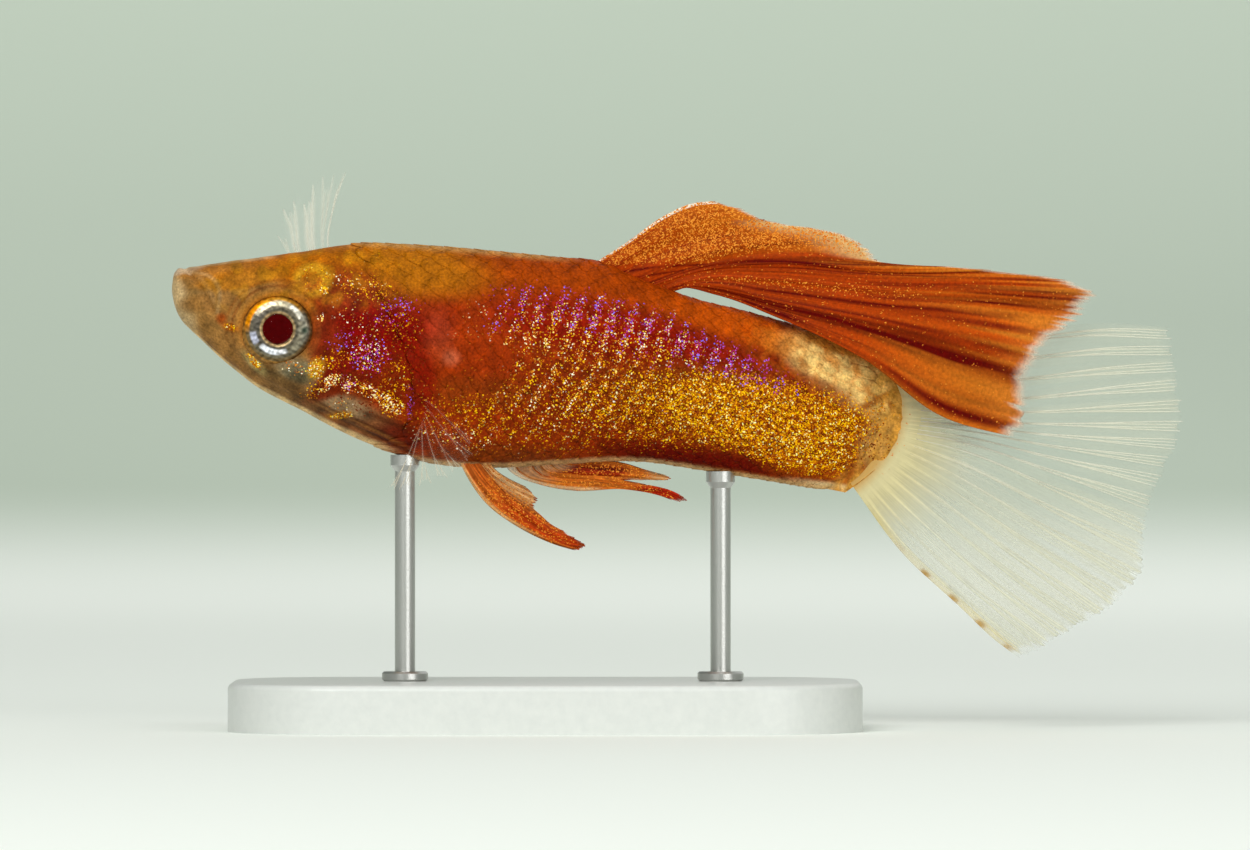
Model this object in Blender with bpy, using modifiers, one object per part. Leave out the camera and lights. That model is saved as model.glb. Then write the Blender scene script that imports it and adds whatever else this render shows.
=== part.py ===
"""A male guppy with long fins, as a still, life-size model on a plain display stand.

The fish frame is in millimetres: X runs from the tip of the snout to the tail, Y to the fish's right, Z up, and
its zero is the tip of the snout. Every piece of the fish hangs on the empty named guppy, which sits at that tip.
The world's zero is the middle of the underside of the stand.
"""

import math

import bmesh
import bpy
import numpy as np
from mathutils import Vector

MM = 0.001
GAP = 0.30
HALF_GAP = GAP / 2

# Main sizes of the fish
BODY_END = 30.15
EYE_CENTRE = (4.43, 1.42, -1.92)
EYE_RADII = (1.50, 0.88, 1.42)
GILL_STATION = 9.40
GILL_SLIT = 0.34
STALK_STATION = 20.60
TAIL_DROP = 15.50

# Main sizes of the stand
BASE_SIZE = (26.0, 15.0, 2.0)
BASE_ROUNDING = 5.0
BASE_EDGE = 0.25
STAND_CENTRE = 15.40
TAIL_CLEARANCE = 0.90
ROD_RADIUS = 0.50
ROD_PLACES = {"stand_rod_front": 9.60, "stand_rod_rear": 22.60}
ROD_SOCKET_DEPTH = 1.20
ROD_CUT_REACH = 3.0
ROD_SIDES = 20
SNOUT_HEIGHT = BASE_SIZE[2] + TAIL_CLEARANCE + TAIL_DROP

# Body profiles, as (distance from the snout, value) pairs
BACK_LINE = (
    (0.00, -0.12), (0.06, 0.28), (0.18, 0.50), (0.50, 0.60), (1.15, 0.70), (2.00, 0.84), (3.60, 1.05),
    (5.30, 1.28), (6.90, 1.54), (7.80, 1.62), (9.40, 1.57), (11.00, 1.48), (13.50, 1.26), (16.00, 1.02),
    (17.60, 0.86), (19.00, 0.24), (20.40, -0.29), (21.75, -0.74), (23.40, -1.13), (25.00, -1.57),
    (26.70, -2.06), (28.30, -2.54), (29.20, -2.78), (30.20, -3.00),
)
BELLY_LINE = (
    (0.00, -0.36), (0.06, -0.72), (0.18, -1.12), (0.35, -1.45), (0.75, -1.90), (1.15, -2.28), (2.00, -3.08),
    (2.80, -3.74), (3.60, -4.34), (4.45, -4.80), (5.30, -5.22), (6.10, -5.66), (7.75, -6.47), (9.40, -7.06),
    (11.00, -7.44), (12.30, -7.55), (13.50, -7.56), (16.00, -7.42), (18.50, -7.30), (19.70, -7.35),
    (21.00, -7.54), (22.60, -7.80), (24.20, -8.05), (25.90, -8.34), (27.75, -8.65), (30.20, -9.00),
)
WIDEST_LINE = (
    (0.00, -0.24), (0.50, -0.60), (2.00, -1.15), (4.40, -1.95), (7.00, -2.50), (10.00, -3.00),
    (14.00, -3.30), (18.00, -3.50), (22.00, -4.15), (26.00, -5.05), (30.20, -5.95),
)
HALF_WIDTH = (
    (0.00, 0.30), (0.06, 0.62), (0.18, 0.88), (0.40, 1.12), (0.80, 1.36), (1.60, 1.64), (2.80, 1.94),
    (4.40, 2.20), (6.20, 2.40), (8.20, 2.52), (10.50, 2.60), (12.50, 2.60), (15.00, 2.46), (18.00, 2.18),
    (21.00, 1.84), (24.00, 1.48), (27.00, 1.12), (28.80, 0.86), (29.60, 0.66), (30.20, 0.42),
)
# How square the section is above and below its widest line: 2 is an ellipse
FULLNESS_ABOVE = ((0.0, 2.4), (2.0, 2.7), (6.0, 2.6), (9.0, 2.3), (14.0, 2.1), (30.2, 2.0))
FULLNESS_BELOW = ((0.0, 2.1), (3.0, 1.95), (8.0, 1.9), (12.0, 2.05), (20.0, 2.0), (30.2, 2.0))

# Rear edge of the gill cover, as (height fraction from belly -1 to back 1, distance from the snout)
GILL_EDGE = ((-1.0, 8.30), (-0.85, 9.20), (-0.50, 9.93), (-0.20, 9.93), (0.45, 8.78), (1.0, 7.42))
GILL_BLEND = 4.9
TAIL_LEAN_START = 24.0
TAIL_LEAN_SQUARE = -1.70
TAIL_LEAN_LINEAR = 0.72

# Relief of the head
GILL_COVER_RISE = 0.17
GILL_COVER_LENGTH = 3.6
ORBIT_RISE = 0.09
ORBIT_RADIUS = 1.68
ORBIT_SPREAD = 0.24
MOUTH_LINE = ((1.70, -1.02), (1.44, -0.54), (1.11, -0.04), (0.78, 0.32))
MOUTH_TOP = 0.52
MOUTH_GROOVE_RADIUS = 0.13
LIP_RADIUS = 0.17
LIP_SPACING = 0.19
NOSTRIL_PLACES = ((2.05, 0.28), (2.55, 0.52))
NOSTRIL_RADIUS = 0.15

# Mesh density
HEAD_RINGS = 36
HEAD_SIDES = 44
TRUNK_RINGS = 24
TRUNK_SIDES = 40
STALK_RINGS = 18
STALK_SIDES = 32
EYE_SIDES = 24
EYE_RINGS = 14

# Fins
MEMBRANE = 0.50
RAY_RIDGE = 0.72
FIN_TIP = 0.26

# Key rays of each fin, front ray first, each from its root inside the body to its tip, as (X, Y, Z)
DORSAL_RAYS = (
    ((17.00, 0.00, 0.56), (18.87, 0.00, 1.77), (20.19, 0.00, 2.72), (21.34, 0.00, 3.25), (22.66, -0.05, 3.38)),
    ((17.40, 0.00, 0.36), (19.45, -0.02, 1.62), (20.95, -0.04, 2.42), (22.35, -0.07, 2.80), (23.90, -0.12, 2.92)),
    ((17.85, 0.00, 0.12), (20.11, -0.05, 1.38), (21.96, -0.10, 2.00), (23.70, -0.15, 2.30), (25.45, -0.20, 2.42)),
    ((18.35, 0.00, -0.14), (20.93, -0.10, 0.98), (23.20, -0.20, 1.50), (25.67, -0.34, 1.78), (28.08, -0.50, 1.96)),
    ((18.85, 0.00, -0.35), (21.75, -0.16, 0.68), (24.43, -0.40, 1.08), (27.11, -0.65, 1.10), (29.83, -0.85, 0.74)),
    ((19.05, 0.00, -0.42), (21.75, -0.18, 0.53), (24.50, -0.46, 0.78), (28.90, -0.85, 0.54), (33.30, -1.00, 0.58)),
    ((19.25, 0.00, -0.52), (21.75, -0.20, 0.37), (24.50, -0.56, 0.46), (28.60, -0.98, 0.16), (33.30, -1.10, 0.10),
     (37.78, -1.05, 0.16)),
    ((19.50, 0.00, -0.65), (21.75, -0.25, 0.14), (24.60, -0.72, 0.06), (28.90, -1.20, -0.38), (33.50, -1.20, -0.58),
     (38.15, -1.15, -0.70)),
    ((19.80, 0.00, -0.80), (21.75, -0.28, -0.09), (24.60, -0.90, -0.42), (29.00, -1.45, -1.10), (33.20, -1.35, -1.70),
     (36.26, -1.25, -2.39)),
    ((20.05, 0.00, -0.92), (21.75, -0.30, -0.33), (24.70, -1.05, -0.97), (28.76, -1.55, -2.02), (32.47, -1.45, -3.25),
     (35.60, -1.35, -4.24)),
    ((20.25, 0.00, -1.05), (21.75, -0.30, -0.57), (24.88, -1.15, -1.50), (28.43, -1.60, -3.09), (31.64, -1.50, -5.35),
     (35.02, -1.40, -6.14)),
)
CAUDAL_RAYS = (
    ((28.84, 0.00, -3.09), (31.64, 0.03, -2.47), (34.94, 0.10, -1.98), (38.23, 0.25, -1.65), (41.20, 0.45, -1.81)),
    ((29.30, 0.00, -3.95), (32.20, 0.03, -3.65), (35.20, 0.10, -3.30), (38.35, 0.25, -3.00), (41.35, 0.45, -2.92)),
    ((29.60, 0.00, -4.80), (32.60, 0.03, -4.80), (35.40, 0.10, -4.70), (38.45, 0.25, -4.40), (41.50, 0.45, -4.15)),
    ((29.68, 0.00, -5.40), (32.70, 0.03, -5.58), (35.50, 0.10, -5.65), (38.60, 0.25, -5.65), (41.70, 0.45, -5.65)),
    ((29.66, 0.00, -5.66), (32.90, 0.03, -5.98), (36.00, 0.10, -6.42), (38.75, 0.25, -6.72), (41.35, 0.45, -6.95)),
    ((29.62, 0.00, -5.90), (32.95, 0.03, -6.42), (36.20, 0.10, -7.25), (38.60, 0.25, -7.80), (40.75, 0.42, -8.30)),
    ((29.55, 0.00, -6.14), (32.90, 0.03, -6.95), (36.40, 0.10, -8.40), (38.50, 0.25, -9.25), (40.25, 0.42, -10.00)),
    ((29.40, 0.00, -6.42), (32.40, 0.03, -7.75), (36.00, 0.10, -9.70), (38.10, 0.22, -10.80), (40.05, 0.40, -11.80)),
    ((29.12, 0.00, -6.85), (31.65, 0.03, -8.45), (35.00, 0.10, -10.80), (37.00, 0.20, -12.10), (38.80, 0.36, -13.35)),
    ((28.80, 0.00, -7.35), (31.10, 0.03, -9.25), (34.05, 0.10, -11.65), (36.00, 0.20, -13.05), (37.60, 0.33, -14.10)),
    ((28.40, 0.00, -7.85), (30.55, 0.03, -10.15), (33.25, 0.10, -12.60), (34.95, 0.18, -13.90), (36.20, 0.30, -14.90)),
    ((27.95, 0.00, -8.25), (30.12, 0.03, -11.15), (32.45, 0.10, -13.33), (33.88, 0.18, -14.68), (34.95, 0.28, -15.48)),
)
ANAL_RAYS = (
    ((14.00, 0.00, -6.90), (14.46, 0.00, -7.99), (15.45, -0.04, -8.36), (16.97, -0.10, -8.48), (18.66, -0.16, -8.50),
     (20.10, -0.22, -8.82), (21.00, -0.28, -9.15)),
    ((14.42, 0.00, -6.90), (14.96, 0.00, -7.87), (15.99, -0.04, -8.14), (17.63, -0.10, -8.20), (19.32, -0.16, -8.46),
     (20.35, -0.22, -8.55), (21.15, -0.28, -8.78)),
    ((14.83, 0.00, -6.90), (15.37, 0.00, -7.74), (16.40, -0.04, -7.95), (17.63, -0.08, -8.02), (19.20, -0.12, -8.18)),
    ((15.30, 0.00, -6.90), (15.90, 0.00, -7.62), (17.02, -0.04, -7.80), (18.46, -0.08, -7.90), (19.69, -0.12, -8.02),
     (20.56, -0.16, -8.12)),
    ((15.70, 0.00, -6.90), (16.40, 0.00, -7.46), (17.50, -0.04, -7.50), (18.60, -0.08, -7.56), (19.60, -0.12, -7.77),
     (20.45, -0.16, -7.97)),
)
PELVIC_RAYS = (
    ((11.66, 0.60, -6.90), (12.19, 0.80, -7.99), (13.02, 1.05, -9.11), (14.13, 1.30, -9.93), (15.72, 1.60, -10.67),
     (16.85, 1.80, -10.92)),
    ((12.00, 0.62, -6.95), (12.77, 0.82, -8.12), (13.84, 1.06, -9.15), (15.16, 1.32, -9.95), (16.20, 1.55, -10.50),
     (16.97, 1.80, -10.76)),
    ((12.25, 0.64, -6.95), (13.02, 0.84, -8.05), (14.13, 1.04, -8.92), (15.04, 1.22, -9.46), (15.90, 1.42, -10.10),
     (16.56, 1.66, -10.50)),
    ((12.50, 0.66, -6.95), (13.27, 0.84, -7.88), (14.13, 0.98, -8.42), (14.70, 1.06, -8.70), (15.16, 1.12, -8.96)),
    ((12.80, 0.68, -6.95), (13.30, 0.82, -7.70), (13.85, 0.92, -8.08), (14.30, 0.98, -8.30), (14.63, 1.02, -8.44)),
)
NEAR_PECTORAL_RAYS = (
    ((10.25, -1.70, -4.50), (10.50, -3.60, -4.50), (10.85, -5.60, -4.65), (11.45, -8.00, -4.90)),
    ((10.30, -1.70, -4.90), (10.80, -3.80, -5.30), (11.60, -6.00, -6.05), (12.65, -8.60, -7.00)),
    ((10.33, -1.60, -5.30), (10.70, -3.60, -5.95), (11.25, -5.90, -6.95), (12.05, -8.40, -8.05)),
    ((10.36, -1.50, -5.60), (10.48, -3.40, -6.35), (10.70, -5.60, -7.35), (11.00, -7.80, -8.20)),
    ((10.38, -1.40, -5.85), (10.20, -3.20, -6.65), (9.95, -5.10, -7.60), (9.60, -7.00, -8.55)),
    ((10.40, -1.30, -6.10), (10.00, -2.90, -6.90), (9.50, -4.60, -7.75), (8.95, -6.20, -8.50)),
)
FAR_PECTORAL_RAYS = (
    ((10.25, 1.70, -4.50), (8.80, 3.60, -2.20), (7.20, 4.50, -0.10), (6.35, 4.90, 1.60), (6.45, 5.20, 3.20),
     (6.99, 5.40, 4.82)),
    ((10.30, 1.70, -4.90), (8.40, 3.70, -2.50), (6.65, 4.50, -0.30), (5.70, 4.90, 1.50), (5.52, 5.20, 3.05),
     (5.48, 5.40, 4.61)),
    ((10.33, 1.60, -5.30), (8.15, 3.70, -2.85), (6.30, 4.50, -0.60), (5.28, 4.90, 1.30), (5.12, 5.15, 2.85),
     (5.08, 5.35, 4.37)),
    ((10.36, 1.50, -5.60), (8.00, 3.70, -3.20), (6.10, 4.50, -0.95), (5.05, 4.85, 0.95), (4.90, 5.10, 2.35),
     (4.84, 5.30, 3.66)),
    ((10.38, 1.40, -5.85), (8.00, 3.70, -3.55), (6.10, 4.45, -1.35), (4.95, 4.80, 0.55), (4.65, 5.05, 1.95),
     (4.55, 5.20, 3.20)),
    ((10.40, 1.30, -6.10), (8.15, 3.60, -3.95), (6.30, 4.40, -1.85), (5.15, 4.75, -0.15), (4.50, 4.95, 1.10),
     (3.96, 5.10, 2.31)),
)

# Rays and mesh rows of each fin, in the solid
FIN_RAYS = {"dorsal_fin": 13, "caudal_fin": 16, "anal_fin": 5, "pelvic_fin": 5, "pectoral_fin": 9}
FIN_ROWS = {"dorsal_fin": 20, "caudal_fin": 12, "anal_fin": 14, "pelvic_fin": 10, "pectoral_fin": 9}

COLOURS = {
    "head": ((0.42, 0.17, 0.04), 0.35),
    "trunk": ((0.40, 0.07, 0.01), 0.35),
    "tail_stalk": ((0.48, 0.16, 0.02), 0.35),
    "eye": ((0.55, 0.50, 0.38), 0.15),
    "red_fin": ((0.45, 0.08, 0.01), 0.45),
    "clear_fin": ((0.75, 0.72, 0.62), 0.40),
    "stand_base": ((0.62, 0.63, 0.62), 0.30),
    "stand_rod": ((0.60, 0.60, 0.60), 0.30),
}


def smooth_curve(places, values):
    """A smooth curve through the values at the given places, straight beyond its ends."""
    places = np.array(places, float)
    values = np.array(values, float)
    slopes = np.gradient(values, places, axis=0)

    def value_at(place):
        index = int(np.clip(np.searchsorted(places, place) - 1, 0, len(places) - 2))
        if place < places[0]:
            return values[0] + slopes[0] * (place - places[0])
        if place > places[-1]:
            return values[-1] + slopes[-1] * (place - places[-1])
        span = places[index + 1] - places[index]
        t = (place - places[index]) / span
        from_start = (1 + 2 * t) * (1 - t) ** 2 * values[index] + t * (1 - t) ** 2 * span * slopes[index]
        to_end = t * t * (3 - 2 * t) * values[index + 1] + t * t * (t - 1) * span * slopes[index + 1]
        return from_start + to_end

    return value_at


def profile(pairs):
    places, values = zip(*pairs)
    return smooth_curve(places, values)


def ease(value):
    """0 below 0, 1 above 1, and a smooth step between."""
    value = min(max(value, 0.0), 1.0)
    return value * value * (3 - 2 * value)


back = profile(BACK_LINE)
belly = profile(BELLY_LINE)
widest = profile(WIDEST_LINE)
half_width = profile(HALF_WIDTH)
fullness_above = profile(FULLNESS_ABOVE)
fullness_below = profile(FULLNESS_BELOW)
gill_edge = profile(GILL_EDGE)


def head_relief(x, z, height):
    """How far the skin of the head stands out sideways from the plain body: gill cover and rim of the orbit."""
    ahead = gill_edge(height) - x
    rise = 0.0
    if ahead > -0.1:
        along = 1 - min(ahead, GILL_COVER_LENGTH) / GILL_COVER_LENGTH
        window = ease((height + 0.98) / 0.3) * ease((0.62 - height) / 0.35)
        rise += GILL_COVER_RISE * ease(along) * window
    from_eye = math.hypot(x - EYE_CENTRE[0], z - EYE_CENTRE[2])
    rise += ORBIT_RISE * math.exp(-(((from_eye - ORBIT_RADIUS) / ORBIT_SPREAD) ** 2))
    return rise


def lean(station, height):
    """How far forward or back a ring leans at this height, to follow the gill cover and the end of the stalk."""
    reach = 1 - min(abs(station - GILL_STATION) / GILL_BLEND, 1)
    shift = ease(reach) * (gill_edge(height) - GILL_STATION)
    toward_end = ease((station - TAIL_LEAN_START) / (BODY_END - TAIL_LEAN_START))
    return shift + toward_end * (TAIL_LEAN_SQUARE * height * height + TAIL_LEAN_LINEAR * height)


def body_point(station, angle, with_relief=True):
    """One point of the skin. The angle is 0 at the back, 90 degrees on the right side and 180 at the belly."""
    up = math.cos(angle)
    side = math.sin(angle)
    first_guess = station + lean(station, up)
    power = fullness_above(first_guess) if up >= 0 else fullness_below(first_guess)
    height = math.copysign(abs(up) ** (2 / power), up)
    x = station + lean(station, height)
    middle = widest(x)
    reach = back(x) - middle if height >= 0 else middle - belly(x)
    z = middle + height * reach
    y = half_width(x) * abs(side) ** (2 / power)
    if with_relief and abs(side) > 0.05:
        y += head_relief(x, z, height) * min(abs(side) * 2, 1)
    return Vector((x, math.copysign(y, side), z))


def skin_half_width(x, z):
    """Half the width of the body at a place seen from the side."""
    middle = widest(x)
    above = z >= middle
    power = fullness_above(x) if above else fullness_below(x)
    height = (z - middle) / (back(x) - middle if above else middle - belly(x))
    return half_width(x) * max(1 - abs(height) ** power, 0.0) ** (1 / power)


def new_collection(name):
    made = bpy.data.collections.new(name)
    bpy.context.scene.collection.children.link(made)
    return made


for old in list(bpy.data.objects):
    bpy.data.objects.remove(old, do_unlink=True)
parts = new_collection("guppy_model")
cutters = new_collection("cutters")

fish = bpy.data.objects.new("guppy", None)
fish.location = (-STAND_CENTRE * MM, 0, SNOUT_HEIGHT * MM)
parts.objects.link(fish)


def material_of(name):
    if name in bpy.data.materials:
        return bpy.data.materials[name]
    colour, roughness = COLOURS[name]
    made = bpy.data.materials.new(name)
    made.use_nodes = True
    shader = made.node_tree.nodes["Principled BSDF"]
    shader.inputs["Base Color"].default_value = (*colour, 1)
    shader.inputs["Roughness"].default_value = roughness
    shader.inputs["Metallic"].default_value = 0.9 if name == "stand_rod" else 0.0
    return made


def object_from(bm, name, origin, material, collection, parent=fish):
    """A mesh object from a bmesh in millimetres, with its origin at a natural place of the piece."""
    bm.normal_update()
    bmesh.ops.recalc_face_normals(bm, faces=bm.faces)
    for vertex in bm.verts:
        vertex.co = (vertex.co - Vector(origin)) * MM
    mesh = bpy.data.meshes.new(name)
    bm.to_mesh(mesh)
    bm.free()
    made = bpy.data.objects.new(name, mesh)
    made.parent = parent
    made.location = Vector(origin) * MM
    collection.objects.link(made)
    if material:
        mesh.materials.append(material_of(material))
    mesh.shade_smooth()
    mesh.set_sharp_from_angle(angle=math.radians(40))
    return made


def cutter_from(bm, name, origin=(0, 0, 0), parent=fish):
    made = object_from(bm, name, origin, None, cutters, parent)
    made.hide_render = True
    made.display_type = "WIRE"
    return made


def evaluated_mesh(obj):
    bpy.context.view_layer.update()
    graph = bpy.context.evaluated_depsgraph_get()
    return bpy.data.meshes.new_from_object(obj.evaluated_get(graph), depsgraph=graph)


def apply_modifiers(obj):
    """Makes the object's modifiers part of its mesh and keeps only the largest closed surface."""
    mesh = evaluated_mesh(obj)
    old = obj.data
    obj.modifiers.clear()
    obj.data = mesh
    mesh.name = obj.name
    bpy.data.meshes.remove(old)
    keep_largest(mesh)


def keep_largest(mesh):
    bm = bmesh.new()
    bm.from_mesh(mesh)
    bmesh.ops.remove_doubles(bm, verts=bm.verts, dist=1e-7)
    bmesh.ops.triangulate(bm, faces=bm.faces)
    left = set(bm.faces)
    pieces = []
    while left:
        piece = set()
        waiting = [left.pop()]
        while waiting:
            face = waiting.pop()
            piece.add(face)
            for edge in face.edges:
                for other in edge.link_faces:
                    if other in left:
                        left.discard(other)
                        waiting.append(other)
        pieces.append(piece)

    def volume(piece):
        return abs(sum(f.verts[0].co.dot(f.verts[1].co.cross(f.verts[2].co)) for f in piece))

    pieces.sort(key=volume)
    spare = [face for piece in pieces[:-1] for face in piece]
    bmesh.ops.delete(bm, geom=spare, context="FACES")
    bm.to_mesh(mesh)
    bm.free()


def cut(obj, cutter, operation="DIFFERENCE"):
    step = obj.modifiers.new(operation.lower(), "BOOLEAN")
    step.operation = operation
    step.object = cutter
    step.solver = "EXACT"
    apply_modifiers(obj)


def loft(rings):
    """A closed body through rings of points that mirror left to right, its two ends closed by strips across."""
    bm = bmesh.new()
    made = [[bm.verts.new(point) for point in ring] for ring in rings]
    count = len(made[0])
    for ring, following in zip(made, made[1:]):
        for index in range(count):
            after = (index + 1) % count
            bm.faces.new((ring[index], ring[after], following[after], following[index]))
    for ring in (made[0], made[-1]):
        for index in range(count // 2):
            corners = (ring[index], ring[index + 1], ring[count - index - 1], ring[-index])
            bm.faces.new(tuple(dict.fromkeys(corners)))
    return bm


def body_rings(start, end, rings, sides, crowd=1.0):
    """Rings from one station to another. A crowd over 1 sets them closer together near the start."""
    found = []
    for step in range(rings + 1):
        station = start + (end - start) * (step / rings) ** crowd
        found.append([body_point(station, math.tau * side / sides) for side in range(sides)])
    return found


def tube(points, radius, name):
    """A round tube along the points, as a mesh cutter with its ends closed."""
    curve = bpy.data.curves.new(name + "_path", "CURVE")
    curve.dimensions = "3D"
    curve.bevel_depth = radius * MM
    curve.bevel_resolution = 2
    curve.use_fill_caps = True
    spline = curve.splines.new("POLY")
    spline.points.add(len(points) - 1)
    for target, point in zip(spline.points, points):
        target.co = (*(Vector(point) * MM), 1)
    guide = bpy.data.objects.new(name + "_path", curve)
    guide.parent = fish
    cutters.objects.link(guide)
    mesh = evaluated_mesh(guide)
    bm = bmesh.new()
    bm.from_mesh(mesh)
    bmesh.ops.remove_doubles(bm, verts=bm.verts, dist=1e-7)
    bmesh.ops.scale(bm, vec=(1 / MM,) * 3, verts=bm.verts)
    bpy.data.meshes.remove(mesh)
    bpy.data.objects.remove(guide, do_unlink=True)
    return cutter_from(bm, name)


def ball(centre, radii, sides, rings):
    bm = bmesh.new()
    bmesh.ops.create_uvsphere(bm, u_segments=sides, v_segments=rings, radius=1)
    for vertex in bm.verts:
        x, y, z = vertex.co
        vertex.co = Vector((x * radii[0], z * radii[1], y * radii[2])) + Vector(centre)
    return bm


def remove(*objects):
    for obj in objects:
        bpy.data.objects.remove(obj, do_unlink=True)


def mouth_path(shift):
    """The line of the mouth over the snout from corner to corner, moved along the head by the shift."""
    left_side = []
    for x, z in MOUTH_LINE:
        left_side.append((x + shift, -skin_half_width(x + shift, z), z))
    corner_turn = MOUTH_TOP + shift
    top_width = half_width(corner_turn)
    over = []
    for fraction in (0.72, 0.45, 0.15):
        y = top_width * fraction
        height = (1 - fraction ** fullness_above(corner_turn)) ** (1 / fullness_above(corner_turn))
        z = widest(corner_turn) + (back(corner_turn) - widest(corner_turn)) * height
        over.append((corner_turn + 0.12 * fraction, -y, z))
    half = left_side + over
    middle = (corner_turn, 0.0, back(corner_turn))
    return half + [middle] + [(x, -y, z) for x, y, z in reversed(half)]


def make_head():
    rings = body_rings(0.0, GILL_STATION - GILL_SLIT / 2, HEAD_RINGS, HEAD_SIDES, crowd=1.25)
    head = object_from(loft(rings), "head", (GILL_STATION, 0, widest(GILL_STATION)), "head", parts)
    for name, shift in (("lip_upper", LIP_SPACING), ("lip_lower", -LIP_SPACING)):
        lip = tube(mouth_path(shift), LIP_RADIUS, name)
        cut(head, lip, "UNION")
        remove(lip)
    groove = tube(mouth_path(0.0), MOUTH_GROOVE_RADIUS, "mouth_groove")
    cut(head, groove)
    remove(groove)
    for side in (-1, 1):
        for x, z in NOSTRIL_PLACES:
            centre = (x, side * skin_half_width(x, z), z)
            pit = cutter_from(ball(centre, (NOSTRIL_RADIUS,) * 3, 10, 6), "nostril_pit")
            cut(head, pit)
            remove(pit)
        centre = (EYE_CENTRE[0], side * EYE_CENTRE[1], EYE_CENTRE[2])
        radii = [radius + GAP for radius in EYE_RADII]
        socket = cutter_from(ball(centre, radii, EYE_SIDES, EYE_RINGS), "eye_socket")
        cut(head, socket)
        remove(socket)


def make_body():
    front = body_rings(GILL_STATION + GILL_SLIT / 2, STALK_STATION - HALF_GAP, TRUNK_RINGS, TRUNK_SIDES)
    rear = body_rings(STALK_STATION + HALF_GAP, BODY_END, STALK_RINGS, STALK_SIDES)
    object_from(loft(front), "trunk", (GILL_STATION, 0, widest(GILL_STATION)), "trunk", parts)
    object_from(loft(rear), "tail_stalk", (STALK_STATION, 0, widest(STALK_STATION)), "tail_stalk", parts)


def make_eyes():
    for name, side in (("eye_left", -1), ("eye_right", 1)):
        centre = (EYE_CENTRE[0], side * EYE_CENTRE[1], EYE_CENTRE[2])
        object_from(ball(centre, EYE_RADII, EYE_SIDES, EYE_RINGS), name, centre, "eye", parts)


def make_clearance():
    """The whole body swollen by the gap, which trims the root of every fin and the top of every rod."""
    bm = loft(body_rings(0.0, BODY_END, 60, 40))
    bm.normal_update()
    bmesh.ops.recalc_face_normals(bm, faces=bm.faces)
    bm.normal_update()
    moves = [vertex.normal * GAP for vertex in bm.verts]
    for vertex, move in zip(bm.verts, moves):
        vertex.co += move
    return cutter_from(bm, "clearance")


def ray_curve(points):
    """A smooth curve through a ray's points, as a function of the share of its length."""
    steps = [math.dist(a, b) for a, b in zip(points, points[1:])]
    places = np.concatenate([[0.0], np.cumsum(steps)])
    return smooth_curve(places / places[-1], points)


def make_fin(name, kind, rays, clearance, mirrored=False):
    """A fin from its key rays: a grid drawn out along them, thicker on each ray, trimmed where it meets the body."""
    curves = [ray_curve(ray) for ray in rays]
    key_places = np.linspace(0, 1, len(rays))
    columns = 2 * FIN_RAYS[kind] - 2
    rows = FIN_ROWS[kind]
    bm = bmesh.new()
    bmesh.ops.create_grid(bm, x_segments=columns, y_segments=rows, size=0.5)
    layer = bm.verts.layers.deform.verify()
    across = {}
    for row in range(rows + 1):
        across[row] = smooth_curve(key_places, [curve(row / rows) for curve in curves])
    for vertex in bm.verts:
        column = round((vertex.co.x + 0.5) * columns)
        row = round((vertex.co.y + 0.5) * rows)
        place = across[row](column / columns)
        on_ray = column % 2 == 0
        thickness = RAY_RIDGE if on_ray else MEMBRANE
        thickness += (MEMBRANE - thickness) * ease(row / rows * 1.2 - 0.2)
        if row == rows:
            thickness = FIN_TIP
        vertex[layer][0] = (thickness - FIN_TIP) / (RAY_RIDGE - FIN_TIP)
        vertex.co = Vector(place)
        if mirrored:
            vertex.co.y = -vertex.co.y
    bmesh.ops.triangulate(bm, faces=bm.faces, quad_method="FIXED")
    root = Vector(rays[0][0])
    if mirrored:
        root.y = -root.y
    fin = object_from(bm, name, root, "clear_fin" if kind in ("caudal_fin", "pectoral_fin") else "red_fin", parts)
    fin.vertex_groups.new(name="thickness")
    wall = fin.modifiers.new("wall", "SOLIDIFY")
    wall.thickness = RAY_RIDGE * MM
    wall.offset = 0
    wall.vertex_group = "thickness"
    wall.thickness_vertex_group = FIN_TIP / RAY_RIDGE
    apply_modifiers(fin)
    cut(fin, clearance)


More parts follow.
